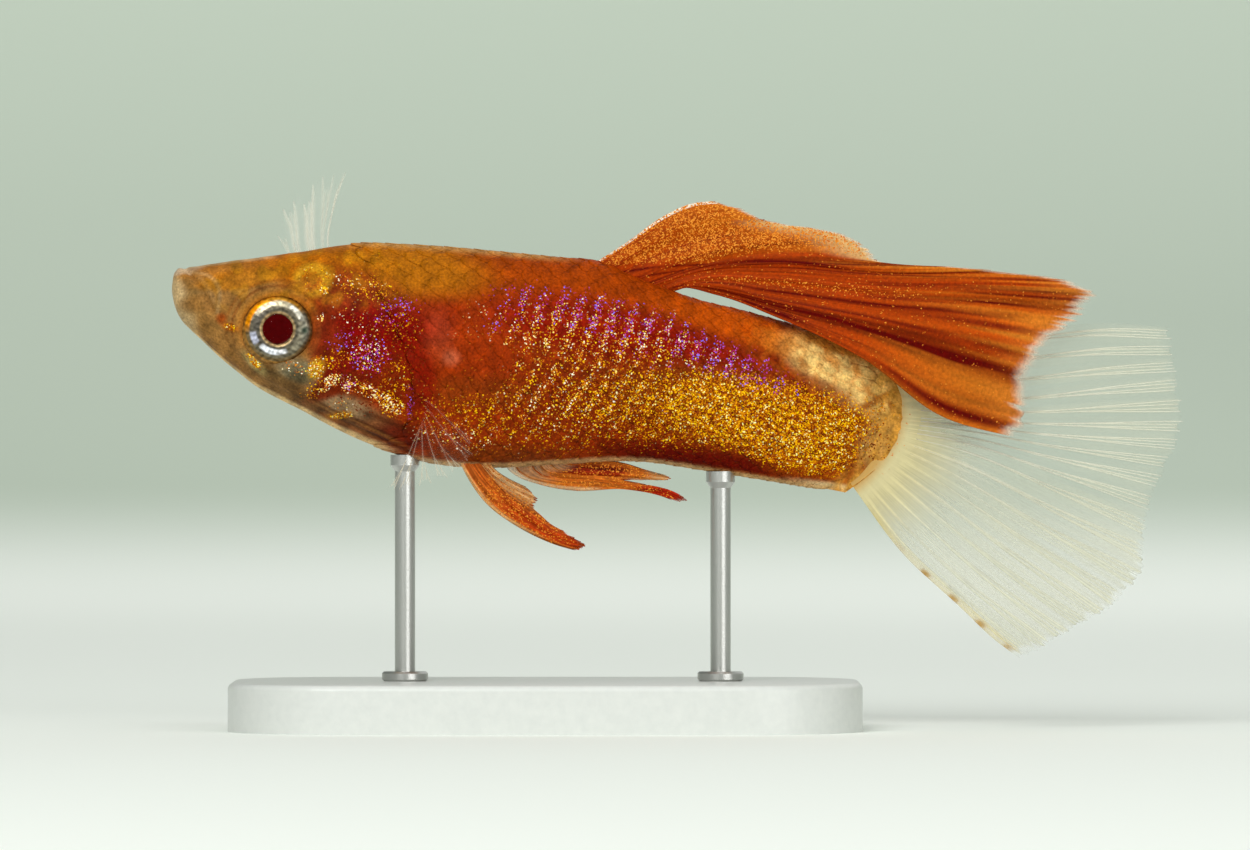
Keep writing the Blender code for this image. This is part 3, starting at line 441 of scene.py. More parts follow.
# Markings: (X, Z, long radius, short radius, tilt, colour, strength, softness of the edge)
MARKS = (
    (13.5, 1.0, 9.0, 2.1, -5, OCHRE * 0.80, 0.75, 1.2),
    (17.0, 0.2, 5.0, 1.3, -8, colour(176, 70, 6), 0.75, 1.2),
    (12.5, -3.2, 2.8, 2.8, 0, colour(168, 62, 8), 0.85, 1.0),
    (17.9, -2.0, 4.8, 1.20, -12, DEEP_RED * 1.25, 0.75, 0.9),
    (23.2, -3.65, 3.4, 0.70, -20, RED * 1.1, 0.85, 0.9),
    (23.4, -1.75, 3.2, 0.65, -18, colour(200, 92, 8), 0.85, 1.0),
    (17.5, -4.8, 5.6, 2.0, -2, colour(138, 50, 8), 0.6, 1.0),
    (24.4, -5.5, 6.2, 1.75, -9, GOLDEN_BROWN, 0.85, 0.8),
    (16.4, -6.7, 4.6, 0.9, 0, colour(152, 58, 10), 0.8, 1.0),
    (22.0, -7.40, 4.2, 0.60, -9, BELLY_RED * 1.1, 0.9, 0.8),
    (26.6, -7.85, 2.2, 0.50, -11, colour(160, 76, 10), 0.8, 0.8),
    (27.9, -8.62, 2.4, 0.26, -11, colour(230, 208, 158), 0.85, 0.8),
    (13.2, -7.3, 3.0, 0.6, 0, colour(136, 66, 22), 0.8, 1.0),
    (24.6, -8.15, 4.0, 0.22, -10, colour(182, 112, 48), 0.7, 0.8),
    (12.6, -4.5, 2.4, 0.65, 0, colour(142, 68, 16), 0.6, 1.0),
    (10.2, -3.9, 0.70, 1.6, 8, DEEP_RED, 0.70, 0.9),
    (10.7, -1.4, 1.2, 1.1, 20, colour(160, 46, 8), 0.6, 1.0),
    (11.0, -2.15, 0.60, 0.95, 10, PINK_HAZE, 0.17, 1.3),
    (11.55, -3.1, 0.34, 0.30, 0, colour(214, 130, 96), 0.40, 1.2),
    (27.7, -3.78, 2.7, 1.00, -30, CREAM, 1.0, 0.65),
    (24.9, -2.45, 0.8, 0.45, -25, colour(214, 136, 50), 0.5, 0.9),
    (26.2, -2.95, 0.45, 0.35, 0, CREAM, 0.6, 0.8),
    (27.4, -2.62, 1.6, 0.30, -17, colour(196, 124, 28), 0.8, 0.7),
    (26.6, -4.3, 1.5, 0.40, -22, colour(140, 50, 12), 0.7, 0.8),
    (29.6, -5.4, 0.9, 1.5, 20, colour(214, 170, 90), 0.65, 0.9),
    (29.2, -7.0, 1.0, 0.8, -50, colour(206, 160, 92), 0.8, 0.9),
    (25.6, -2.45, 0.50, 0.30, -20, colour(226, 160, 80), 0.5, 0.9),
    (27.1, -3.05, 0.55, 0.20, -60, colour(206, 126, 36), 0.6, 0.8),
    (28.1, -3.45, 0.50, 0.16, -62, colour(206, 126, 36), 0.6, 0.8),
    (26.0, -3.35, 0.45, 0.14, -60, colour(190, 110, 40), 0.5, 0.8),
    (28.6, -4.35, 0.55, 0.13, -50, colour(196, 124, 50), 0.5, 0.8),
    (29.0, -4.85, 0.85, 0.15, 28, colour(150, 78, 24), 0.85, 0.7),
    (29.75, -5.25, 0.50, 0.14, -62, colour(150, 78, 24), 0.85, 0.7),
    (4.6, 0.6, 4.6, 1.5, 6, OCHRE, 0.95, 0.7),
    (8.2, 1.15, 2.8, 0.8, 0, OCHRE, 0.85, 0.9),
    (10.2, 0.45, 2.6, 1.0, -6, colour(186, 118, 22), 0.75, 1.0),
    (2.6, -2.2, 3.6, 2.9, -40, TAN, 0.96, 0.30),
    (0.9, -0.9, 1.5, 1.7, 20, TAN, 1.0, 0.5),
    (0.30, -0.75, 0.45, 1.5, 22, colour(216, 188, 142), 0.85, 1.0),
    (0.62, 0.52, 0.75, 0.16, 12, colour(226, 216, 196), 0.55, 0.9),
    (1.10, -0.75, 0.75, 0.55, 50, colour(152, 122, 76), 0.7, 0.9),
    (2.6, -0.75, 2.2, 0.50, 4, colour(160, 116, 62), 0.85, 0.5),
    (2.9, 0.15, 1.9, 0.42, 8, colour(178, 116, 24), 0.85, 0.5),
    (2.4, 0.62, 2.0, 0.35, 8, colour(184, 116, 34), 0.6, 0.9),
    (4.8, -4.1, 2.2, 0.75, -34, GLASSY_TAN, 0.9, 0.6),
    (5.2, -3.55, 1.0, 0.50, -20, colour(130, 128, 104), 0.75, 0.8),
    (5.5, -3.95, 0.60, 0.20, -10, colour(96, 82, 52), 0.6, 1.0),
    (4.3, -3.75, 0.70, 0.16, -38, colour(104, 84, 50), 0.5, 1.0),
    (7.6, -5.5, 2.0, 0.75, -24, colour(140, 96, 60), 0.85, 0.7),
    (7.2, -5.1, 1.0, 0.40, -20, colour(158, 140, 108), 0.6, 0.9),
    (9.5, -6.3, 1.0, 0.55, -10, colour(112, 28, 10), 0.8, 0.9),
    (7.6, -0.55, 2.1, 1.05, -18, RUST, 0.85, 0.8),
    (8.2, -2.1, 2.3, 1.15, 6, DEEP_RED, 0.95, 0.7),
    (6.4, -2.5, 0.75, 1.3, 10, colour(136, 52, 22), 0.75, 0.8),
    (7.6, -3.6, 1.6, 0.70, 20, colour(128, 20, 14), 0.85, 0.8),
    (9.2, -4.45, 0.95, 0.85, 0, colour(128, 40, 6), 0.90, 0.8),
    (6.7, -4.3, 1.3, 0.36, 24, colour(124, 44, 10), 0.9, 0.7),
    (5.85, 0.10, 0.80, 0.72, 0, colour(208, 158, 40), 0.75, 0.45),
    (5.80, 0.06, 0.42, 0.36, 0, colour(186, 110, 18), 0.9, 0.5),
    (5.05, -0.35, 1.1, 0.35, 20, colour(172, 106, 40), 0.7, 0.8),
    (2.10, -1.48, 0.20, 0.22, -30, colour(168, 76, 14), 0.8, 1.2),
    (2.48, -1.85, 0.34, 0.16, -20, colour(190, 104, 14), 0.8, 1.2),
    (3.45, -3.30, 0.60, 0.20, -46, colour(196, 180, 120), 0.7, 1.2),
    (6.02, -3.55, 0.28, 0.40, -30, colour(214, 170, 40), 0.8, 1.2),
    (6.95, -5.45, 0.46, 0.16, 4, colour(196, 140, 36), 0.7, 1.2),
    (5.10, -4.35, 0.70, 0.25, -34, colour(112, 84, 50), 0.6, 1.2),
    (8.60, -6.20, 1.40, 0.13, -28, colour(84, 40, 18), 0.5, 1.2),
    (8.30, -6.02, 1.30, 0.05, -26, colour(176, 124, 66), 0.5, 1.2),
    (8.90, -6.38, 1.00, 0.05, -24, colour(170, 104, 48), 0.5, 1.2),
    (7.10, -5.60, 1.30, 0.05, -30, colour(182, 138, 82), 0.5, 1.2),
    (8.90, -5.70, 1.20, 0.10, -22, colour(90, 42, 18), 0.6, 1.2),
    (7.40, -5.80, 1.60, 0.07, -27, colour(84, 44, 22), 0.6, 1.2),
    (8.10, -5.85, 1.30, 0.06, -24, colour(84, 44, 22), 0.6, 1.2),
    (6.30, -5.05, 1.30, 0.07, -30, colour(92, 56, 30), 0.6, 1.2),
    (9.00, -6.55, 1.10, 0.07, -24, colour(80, 36, 16), 0.6, 1.2),
    (5.40, -4.75, 1.10, 0.06, -34, colour(104, 76, 44), 0.5, 1.2),
)
# Rings round the eye: (radius, half width, colour, strength over the eye, share of it under the eye)
EYE_RINGS = (
    (1.50, 0.15, colour(176, 112, 34), 0.75, 0.25),
    (1.72, 0.10, colour(168, 118, 52), 0.55, 0.3),
    (1.90, 0.07, colour(130, 70, 22), 0.60, 0.0),
    (2.15, 0.07, colour(140, 78, 22), 0.45, 0.0),
)
# Flecks: (X, Z, long radius, short radius, tilt, strength, softness) for each of three kinds
GOLD_FLECKS = (
    (24.2, -5.45, 4.9, 1.50, -9, 0.92, 0.6), (25.9, -6.9, 2.7, 0.85, -12, 0.85, 0.7),
    (29.5, -5.9, 1.1, 1.5, -10, 0.50, 1.0), (19.6, -5.0, 3.8, 1.5, -4, 0.60, 1.0),
    (15.2, -4.9, 4.2, 2.0, 0, 0.32, 1.0), (12.4, -5.6, 2.6, 0.7, 0, 0.14, 1.0),
    (17.5, -2.6, 3.4, 1.1, -10, 0.40, 1.0), (9.05, -5.0, 0.60, 0.42, -35, 0.66, 0.8),
    (8.2, -4.45, 0.80, 0.30, -25, 0.42, 0.8), (6.0, -4.4, 0.60, 0.30, 24, 0.30, 0.9),
    (6.05, -3.5, 0.30, 0.46, -20, 0.75, 0.9), (6.9, -3.2, 0.70, 0.40, 0, 0.26, 1.0),
    (7.0, -5.47, 0.45, 0.13, 4, 0.80, 0.8), (3.45, -3.25, 0.42, 0.15, -46, 1.20, 0.7),
    (2.5, -1.85, 0.30, 0.12, -20, 0.70, 0.9), (9.3, -3.9, 0.60, 0.80, 0, 0.24, 1.0),
    (9.4, -1.7, 0.90, 1.00, 0, 0.16, 1.0), (5.9, 0.15, 0.70, 0.60, 0, 0.18, 0.9),
    (6.3, -0.35, 0.20, 0.16, 0, 1.00, 0.8), (8.0, -0.2, 1.3, 0.5, -18, 0.26, 1.0),
    (8.2, 0.8, 2.6, 0.5, 0, 0.05, 1.0),
)
VIOLET_FLECKS = (
    (8.2, -3.0, 0.75, 0.66, 0, 0.38, 1.0), (7.3, -2.4, 0.80, 0.40, 10, 0.25, 1.0),
    (9.3, -1.2, 0.90, 0.50, 20, 0.30, 1.0), (9.85, -4.9, 0.16, 0.60, 0, 0.50, 0.9),
    (7.35, -4.1, 0.30, 0.30, 0, 0.30, 1.0), (14.0, -1.5, 1.1, 0.60, 0, 0.30, 1.0),
    (17.6, -1.35, 3.8, 0.80, -12, 0.50, 0.9), (22.8, -3.2, 3.0, 0.70, -22, 0.66, 0.9),
    (19.5, -2.6, 2.5, 0.8, -12, 0.20, 1.0),
)
PALE_FLECKS = (
    (17.4, -2.10, 4.0, 1.30, -8, 0.70, 0.9), (21.4, -2.95, 2.6, 0.70, -20, 0.62, 0.9),
    (6.6, -4.08, 0.50, 0.24, 35, 1.30, 0.8), (7.4, -4.2, 0.32, 0.30, 20, 1.20, 0.8),
    (8.1, -3.0, 0.80, 0.70, 0, 0.42, 1.0), (7.2, 0.12, 0.62, 0.28, -10, 0.24, 0.9),
    (8.3, -0.35, 0.80, 0.42, -20, 0.22, 0.9), (6.2, -1.42, 0.13, 0.22, 0, 1.20, 0.9),
    (5.1, -3.5, 0.60, 0.26, -20, 0.40, 1.0), (7.1, -5.0, 0.60, 0.30, 0, 0.20, 1.0),
    (7.8, -1.6, 1.30, 0.70, -30, 0.16, 1.0), (16.4, -4.2, 3.0, 2.1, 0, 0.42, 1.0),
    (12.3, -6.3, 2.2, 0.6, -6, 0.30, 1.0), (12.8, -2.0, 1.2, 1.2, 40, 0.16, 1.0),
    (8.2, -4.5, 0.8, 0.25, -25, 1.0, 0.9), (9.1, -5.0, 0.5, 0.3, -35, 1.1, 0.9),
    (6.05, -3.5, 0.26, 0.40, -20, 0.9, 0.9), (21.5, -5.0, 3.0, 1.0, -6, 0.14, 1.0),
)


def dark_grain(x, z):
    """How freely dark grains lie among the bright ones: thickest in the golden field and on the cheek."""
    golden_field = oval(x, z, 21.0, -5.5, 7.6, 1.7, -8, 0.8)
    return np.maximum(golden_field, 0.7 * oval(x, z, 8.4, -3.2, 2.0, 2.0, 0, 1.0))


# The pale arc behind the mouth, where the jaw's clear skin meets the ochre of the head.
JAW_ARC = smooth_line(((1.94, -1.20), (2.03, -0.45), (1.86, 0.02), (1.50, 0.30), (1.00, 0.40), (0.45, 0.48)))
SCALE_PITCH = 0.78
LINE_STRENGTH = 0.88
PAINT_LEVEL = 0.87
PAINT_CONTRAST = 1.15


def skin_colours(x, z, height, station):
    """The colour of the skin at these places, before its flecks."""
    tint = markings(x, z)
    from_eye = np.hypot(x - EYE[0], (z - EYE[2]) / EYE_OPENING_TALL)
    over_eye = ease((z - EYE[2] + 0.35 * (EYE[0] - x)) / 1.6 + 0.3)
    for radius, half, paint, strength, under in EYE_RINGS:
        amount = strength * bell(from_eye - radius, half) * (under + (1 - under) * over_eye)
        tint = over(tint, paint, amount)
    # A pale rim along the throat and the belly
    rim = np.maximum(
        ease((-0.915 - height) / 0.05) * between(x, 0.6, 9.0, 1.5),
        0.75 * ease((-0.940 - height) / 0.035) * between(x, 10.0, 28.5, 2.0),
    )
    tint = over(tint, colour(236, 202, 146), 0.85 * rim)
    # Amber seams between the scales of the cream patch
    across = np.cos((x - 0.30 * z) * math.tau / SCALE_PITCH)
    lengthwise = np.cos((z + 0.45 * x) * math.tau / 0.62)
    seams = np.maximum(ease((-across - 0.45) / 0.5), 0.8 * ease((-lengthwise - 0.55) / 0.45))
    seams = seams * oval(x, z, 26.6, -3.4, 3.4, 1.2, -28, 0.6)
    tint = over(tint, colour(196, 116, 34), 0.42 * seams)
    # The pale lip and jaw, and a painted highlight along the ridge of the nose and the nape
    lip = bell(line_distance(x, z, UPPER_LIP), 0.12)
    cheek_arc = bell(line_distance(x, z, JAW_ARC), 0.09)
    tint = over(tint, colour(212, 184, 138), np.maximum(0.12 * lip, 0.30 * cheek_arc))
    nose_highlight = ease((height - 0.93) / 0.06) * between(x, 0.4, 4.2, 1.0)
    tint = over(tint, colour(224, 196, 152), 0.55 * nose_highlight)
    nape_highlight = ease((height - 0.93) / 0.06) * between(x, 7.5, 16.0, 2.5)
    tint = over(tint, colour(206, 158, 92), 0.75 * nape_highlight)
    # The clear skin at the end of the scales, and a yellow cast on the top of the head
    tail = ease((station - (BODY_END - 1.7)) / 1.5) * (0.80 + 0.40 * ring_noise(x, z, 0.5, 15))
    tint = over(tint, colour(204, 150, 66), np.clip(tail, 0, 1))
    on_head = between(x, 1.5, 9.0, 1.5)
    sunny = ease(ring_noise(x, z, 0.9, 23) + 0.1) * on_head * ease((z + 1.4) / 0.8)
    tint = over(tint, YELLOW * 0.95, 0.30 * sunny)
    # Coarse and fine clouds of darker skin
    shadow = 1 + (0.10 + 0.05 * on_head) * ring_noise(x, z, 1.1, 3)
    shadow = shadow + (0.07 + 0.03 * on_head) * ring_noise(x, z, 0.45, 5)
    tint = tint * np.clip(shadow, 0.6, 1.5)[:, None]
    return PAINT_LEVEL * np.clip(tint, 0, 1) ** PAINT_CONTRAST


def fleck_density(x, z, ovals):
    """How thickly one kind of fleck lies, with hardly any on the plain patch behind the gill cover."""
    total = np.zeros(np.shape(x))
    for centre_x, centre_z, long_radius, short_radius, tilt, strength, soft in ovals:
        patch = strength * oval(x, z, centre_x, centre_z, long_radius, short_radius, tilt, soft)
        total = np.maximum(total, patch)
    behind_gill = oval(x, z, 12.2, -3.5, 1.9, 1.2, 0, 0.8)
    return total * (1 - 0.85 * behind_gill)


def fleck_lines(x, z):
    """Slanting lines that the flecks lie along, one to a row of scales, and none ahead of the flank."""
    lower = np.minimum(z + 3.4 + 0.12 * (x - 16), 0)
    slant = x - 0.36 * z - 0.28 * lower + 0.05 * ring_noise(x, z, 1.3, 91)
    line = ease((0.5 + 0.5 * np.cos(slant * math.tau / SCALE_PITCH)) * 1.7 - 0.45)
    return 1 - LINE_STRENGTH * ease((x - 12.0) / 1.5) * (1 - line)


def skin_paint(mesh, x, z, height, station, shade=1.0):
    """Writes the markings of the skin at these places as attributes. The tint is darkened by the shade, which
    on the scales holds their tones and the painted shade at their rims.
    """
    cluster = fleck_lines(x, z)
    colour_attribute(mesh, "tint", skin_colours(x, z, height, station) * np.reshape(shade, (-1, 1)))
    clumps = np.clip(0.80 + 0.35 * ring_noise(x, z, 0.40, 8), 0.2, 1.3)
    golden = 0.40 + 0.45 * ease((x - 18) / 4)
    worn = clumps * (1 - 0.88 * ease((station - (BODY_END - 1.9)) / 1.3))
    gold_lines = golden + (1 - golden) * cluster
    dark = np.clip(0.30 + 0.25 * ring_noise(x, z, 0.4, 12), 0.05, 0.8)
    value_attribute(mesh, "gold_flecks", fleck_density(x, z, GOLD_FLECKS) * gold_lines * worn)
    value_attribute(mesh, "pale_flecks", fleck_density(x, z, PALE_FLECKS) * cluster * clumps)
    value_attribute(mesh, "violet_flecks", fleck_density(x, z, VIOLET_FLECKS) * cluster * clumps)
    value_attribute(mesh, "dark_flecks", dark * dark_grain(x, z))


def math_node(tree, operation, *values, clamp=False):
    """One Math node. Each value is a number or another node's output."""
    node = tree.nodes.new("ShaderNodeMath")
    node.operation = operation
    node.use_clamp = clamp
    for socket, value in zip(node.inputs, values):
        if isinstance(value, (int, float)):
            socket.default_value = value
        else:
            tree.links.new(value, socket)
    return node.outputs[0]


def mottled(tree, tint, shade):
    """A colour made lighter and darker by a plain shade."""
    grey = tree.nodes.new("ShaderNodeCombineColor")
    for channel in ("Red", "Green", "Blue"):
        tree.links.new(shade, grey.inputs[channel])
    return mix_colour(tree, 1.0, tint, grey.outputs["Color"], "MULTIPLY")


def attribute_node(tree, name, output="Fac"):
    node = tree.nodes.new("ShaderNodeAttribute")
    node.attribute_name = name
    return node.outputs[output]


def object_place(tree):
    """Object coordinates in millimetres."""
    source = tree.nodes.new("ShaderNodeTexCoord")
    mapping = tree.nodes.new("ShaderNodeMapping")
    mapping.inputs["Scale"].default_value = (1 / MM, 1 / MM, 1 / MM)
    tree.links.new(source.outputs["Object"], mapping.inputs["Vector"])
    return mapping.outputs["Vector"]


def noise_node(tree, vector, scale, detail=3.0):
    node = tree.nodes.new("ShaderNodeTexNoise")
    node.inputs["Scale"].default_value = scale
    node.inputs["Detail"].default_value = detail
    tree.links.new(vector, node.inputs["Vector"])
    return node.outputs["Fac"]


def new_group(name, inputs, outputs):
    """An empty shader node group. Inputs and outputs are pairs of a name and a socket type."""
    group = bpy.data.node_groups.new(name, "ShaderNodeTree")
    for label, kind in inputs:
        group.interface.new_socket(label, in_out="INPUT", socket_type=kind)
    for label, kind in outputs:
        group.interface.new_socket(label, in_out="OUTPUT", socket_type=kind)
    return group, group.nodes.new("NodeGroupInput"), group.nodes.new("NodeGroupOutput")


FLOAT = "NodeSocketFloat"
VECTOR = "NodeSocketVector"


def build_fleck_group():
    """Shining flecks of pigment: random small cells, more of them filled where the density is higher."""
    group, entry, leave = new_group(
        "pigment flecks",
        (("Place", VECTOR), ("Cell Scale", FLOAT), ("Density", FLOAT)),
        (("Fleck", FLOAT), ("Brightness", FLOAT), ("Choice", FLOAT)),
    )
    cells = group.nodes.new("ShaderNodeTexVoronoi")
    group.links.new(entry.outputs["Place"], cells.inputs["Vector"])
    group.links.new(entry.outputs["Cell Scale"], cells.inputs["Scale"])
    parts = group.nodes.new("ShaderNodeSeparateColor")
    group.links.new(cells.outputs["Color"], parts.inputs["Color"])
    margin = math_node(group, "SUBTRACT", entry.outputs["Density"], parts.outputs["Red"])
    present = math_node(group, "MULTIPLY", margin, 30.0, clamp=True)
    group.links.new(present, leave.inputs["Fleck"])
    group.links.new(parts.outputs["Green"], leave.inputs["Brightness"])
    group.links.new(parts.outputs["Blue"], leave.inputs["Choice"])
    return group


FLECK_GROUP = build_fleck_group()


def flecks(tree, place_output, scale, density):
    node = tree.nodes.new("ShaderNodeGroup")
    node.node_tree = FLECK_GROUP
    tree.links.new(place_output, node.inputs["Place"])
    node.inputs["Cell Scale"].default_value = scale
    tree.links.new(density, node.inputs["Density"])
    return node.outputs["Fleck"], node.outputs["Brightness"], node.outputs["Choice"]


def bump_node(tree, height, distance, strength):
    node = tree.nodes.new("ShaderNodeBump")
    node.inputs["Distance"].default_value = distance
    node.inputs["Strength"].default_value = strength
    tree.links.new(height, node.inputs["Height"])
    return node.outputs["Normal"]


def skin_material():
    made = plain_material("guppy skin", GROUND, 0.42)
    tree = made.node_tree
    shader = tree.nodes["Principled BSDF"]
    where = object_place(tree)
    grain = noise_node(tree, where, 10.0, 5.0)
    coarse = noise_node(tree, where, 2.6, 3.0)
    fine_mottle = math_node(tree, "MULTIPLY_ADD", grain, 1.7, 0.17)
    coarse_mottle = math_node(tree, "MULTIPLY_ADD", coarse, 0.6, 0.70)
    shade = math_node(tree, "MULTIPLY", fine_mottle, coarse_mottle)
    result = mottled(tree, attribute_node(tree, "tint", "Color"), shade)
    shine = None
    # Each kind of fleck: the attribute that says where, its share, cells to the millimetre, and two paints
    layers = (
        ("dark_flecks", 0.95, 19.0, colour(126, 40, 3), colour(84, 16, 2)),
        ("gold_flecks", 0.74, 21.0, colour(226, 146, 1), colour(156, 62, 1)),
        ("pale_flecks", 0.36, 21.0, colour(236, 150, 40), colour(170, 50, 6)),
        ("gold_flecks", 0.32, 18.0, colour(252, 208, 10), colour(230, 150, 2)),
        # These two near-white layers are partly the flecks' own pale colour and partly painted glints of
        # light off them
        ("gold_flecks", 0.10, 19.5, colour(255, 252, 190), colour(255, 240, 110)),
        ("pale_flecks", 0.24, 19.0, colour(255, 255, 246), colour(255, 216, 48)),
        ("violet_flecks", 0.58, 19.5, colour(200, 84, 190), colour(150, 2, 72)),
    )
    for name, share, scale, bright, dim in layers:
        density = math_node(tree, "MULTIPLY", attribute_node(tree, name), share)
        fleck, brightness, choice = flecks(tree, where, scale, density)
        power = math_node(tree, "POWER", brightness, 1.3)
        paint = mix_colour(tree, power, dim, bright)
        if name == "violet_flecks":
            blue = math_node(tree, "GREATER_THAN", choice, 0.72)
            paint = mix_colour(tree, blue, paint, colour(132, 112, 240))
        result = mix_colour(tree, fleck, result, paint)
        shine = fleck if shine is None else math_node(tree, "MAXIMUM", shine, fleck)
    tree.links.new(result, shader.inputs["Base Color"])
    tree.links.new(math_node(tree, "MULTIPLY_ADD", shine, -0.18, 0.44), shader.inputs["Roughness"])
    tree.links.new(bump_node(tree, grain, 0.00003, 0.6), shader.inputs["Normal"])
    shader.inputs["Specular IOR Level"].default_value = 0.025
    return made


def world_points(points):
    """Fish millimetres, measured from the snout, as places in the scene."""
    return np.asarray(points) * MM + SNOUT


def mesh_points(mesh):
    """The places of a mesh's points, a row to each."""
    flat = np.empty(len(mesh.vertices) * 3, np.float32)
    mesh.vertices.foreach_get("co", flat)
    return flat.reshape(-1, 3).astype(float)


def grid_mesh(name, columns, rows):
    """A flat grid mesh with each point's share across and along, which are its UV map too."""
    shape = bmesh.new()
    bmesh.ops.create_grid(shape, x_segments=columns, y_segments=rows, size=0.5)
    layer = shape.loops.layers.uv.new("UVMap")
    for face in shape.faces:
        for loop in face.loops:
            loop[layer].uv = (loop.vert.co.x + 0.5, loop.vert.co.y + 0.5)
    mesh = made_mesh(shape, name)
    flat = mesh_points(mesh)
    return mesh, flat[:, 0] + 0.5, flat[:, 1] + 0.5


def set_points(mesh, points):
    mesh.vertices.foreach_set("co", np.asarray(points, np.float32).ravel())
    mesh.update()


def point_normals(mesh):
    found = np.empty(len(mesh.vertices) * 3, np.float32)
    mesh.vertex_normals.foreach_get("vector", found)
    return found.reshape(-1, 3).astype(float)


def close_up(mesh, merge=2e-7):
    """Joins points that fell on one another and turns every face outward."""
    shape = bmesh.new()
    shape.from_mesh(mesh)
    bmesh.ops.remove_doubles(shape, verts=shape.verts, dist=merge)
    bmesh.ops.recalc_face_normals(shape, faces=shape.faces)
    shape.to_mesh(mesh)
    shape.free()


STATION_SHARES = ((0.0, 0.0), (0.05, 0.10), (0.12, 0.55), (0.50, 9.6), (0.955, 29.3), (1.0, BODY_END))

skin_mesh, around, along = grid_mesh("skin", SKIN_SIDES, SKIN_RINGS)
station = np.clip(np.interp(along, *zip(*STATION_SHARES)), 0, BODY_END)
skin_points = body_surface(station, around * math.tau)
set_points(skin_mesh, world_points(skin_points))
normals = point_normals(skin_mesh)
outward = np.sign(np.sum(normals * np.sign(skin_points * (0, 1, 0)), axis=1).mean())
normals = normals * outward
x, y, z = skin_points.T
height = height_at(x, z)
relief = np.zeros(len(x))
# The folds and nostrils are sunk in, fading out at the middle of the head, except for those round the mouth
side_share = np.clip(np.abs(y) / 0.25, 0, 1)
for fold, depth, width in FOLDS:
    at_front = fold is MOUTH or fold is UPPER_LIP or fold is LOWER_LIP
    wide = 0.35 + 0.65 * np.clip(np.abs(y) / 0.8, 0, 1) if at_front else side_share
    relief -= depth * bell(line_distance(x, z, fold), width) * wide
for nostril_x, nostril_z, radius in NOSTRILS:
    reach = np.hypot(x - nostril_x, z - nostril_z) / radius
    relief -= NOSTRIL_DEPTH * np.exp(-reach ** 4) * side_share
# The skin lies a little deeper under the coats of scales
relief -= COAT_DEPTH * ease((x - gill_edge(height) - 0.3) / 0.5) * ease((COAT_END - x) / 0.6)
relief += UNEVENNESS * ring_noise(x, z, 1.6, 11) * side_share
skin_points = skin_points + normals * relief[:, None]
# Each eye's socket is sunk straight in
from_eye = np.hypot(x - EYE[0], (z - EYE[2]) / EYE_OPENING_TALL)
sink = ease((EYE_OPENING + 0.06 - from_eye) / 0.10)
inner = np.sign(y) * SOCKET_DEPTH
skin_points[:, 1] += np.where(np.abs(y) > SOCKET_DEPTH, (inner - y) * sink, 0)
set_points(skin_mesh, world_points(skin_points))
skin_paint(skin_mesh, x, z, height, station)
close_up(skin_mesh)
skin_mesh.shade_smooth()
SKIN = skin_material()
skin = place(bpy.data.objects.new("skin", skin_mesh), SKIN)
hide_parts("head", "trunk", "tail_stalk")
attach(skin, "root")

# The scales: some thousand thin horny plates in slanting rows, twenty-six along the side as in the species.
# Each is rooted in the skin and laps over the next, follows the body and carries the skin's markings.
SCALE_ROWS = 48
SCALE_LONG = 1.22
SCALE_OVERLAP = 1.08
SCALE_WALL = 0.020
SCALE_ROOT = -0.045
SCALE_EDGE = 0.036
SCALE_START = 6.6
SCALE_END = 29.35
SCALE_CELLS = 6
SCALE_COLUMNS = 32
ROUND_STEPS = 720
# Behind the head the scales lie flatter, shade one another less and carry less painted shade at their rims:
# (from X, to X, softness).
SMOOTH_STRETCH = (8, 16.5, 2.0)


def round_places(station_at):
    """Angles round the body's section at a station, and the share of its length that lies before each."""
    angles = np.linspace(0, math.tau, ROUND_STEPS + 1)
    ring = body_surface(np.full(len(angles), station_at), angles)
    steps = np.linalg.norm(np.diff(ring, axis=0), axis=1)
    shares = np.concatenate([[0.0], np.cumsum(steps)])
    return angles, shares / shares[-1]


def skin_normals(station, angle, step=0.01):
    along_body = body_surface(station + step, angle) - body_surface(station - step, angle)
    round_body = body_surface(station, angle + step) - body_surface(station, angle - step)
    normal = np.cross(round_body, along_body)
    return normal / np.linalg.norm(normal, axis=1)[:, None]


def scale_places(rows):
    """Roots of the scales behind the gill cover: (station, row, column, angles and shares round the body)."""
    places = []
    for row in rows:
        for column in range(SCALE_COLUMNS):
            root = SCALE_START + SCALE_PITCH * (column + 0.5 * (row % 2))
            angles, shares = round_places(root)
            angle = np.interp(row / SCALE_ROWS, shares, angles)
            x, y, z = body_surface(np.array([root + 0.4]), np.array([angle]))[0]
            if x > gill_edge(height_at(x, z)) + 0.12 and root + SCALE_LONG < SCALE_END:
                places.append((root, row, column, angles, shares))
    return places


def evaluated_mesh(guide):
    """The mesh that an object's modifiers or its curve's bevel make. The object itself is removed."""
    bpy.context.scene.collection.objects.link(guide)
    graph = bpy.context.evaluated_depsgraph_get()
    mesh = bpy.data.meshes.new_from_object(guide.evaluated_get(graph), depsgraph=graph)
    bpy.data.objects.remove(guide, do_unlink=True)
    return mesh


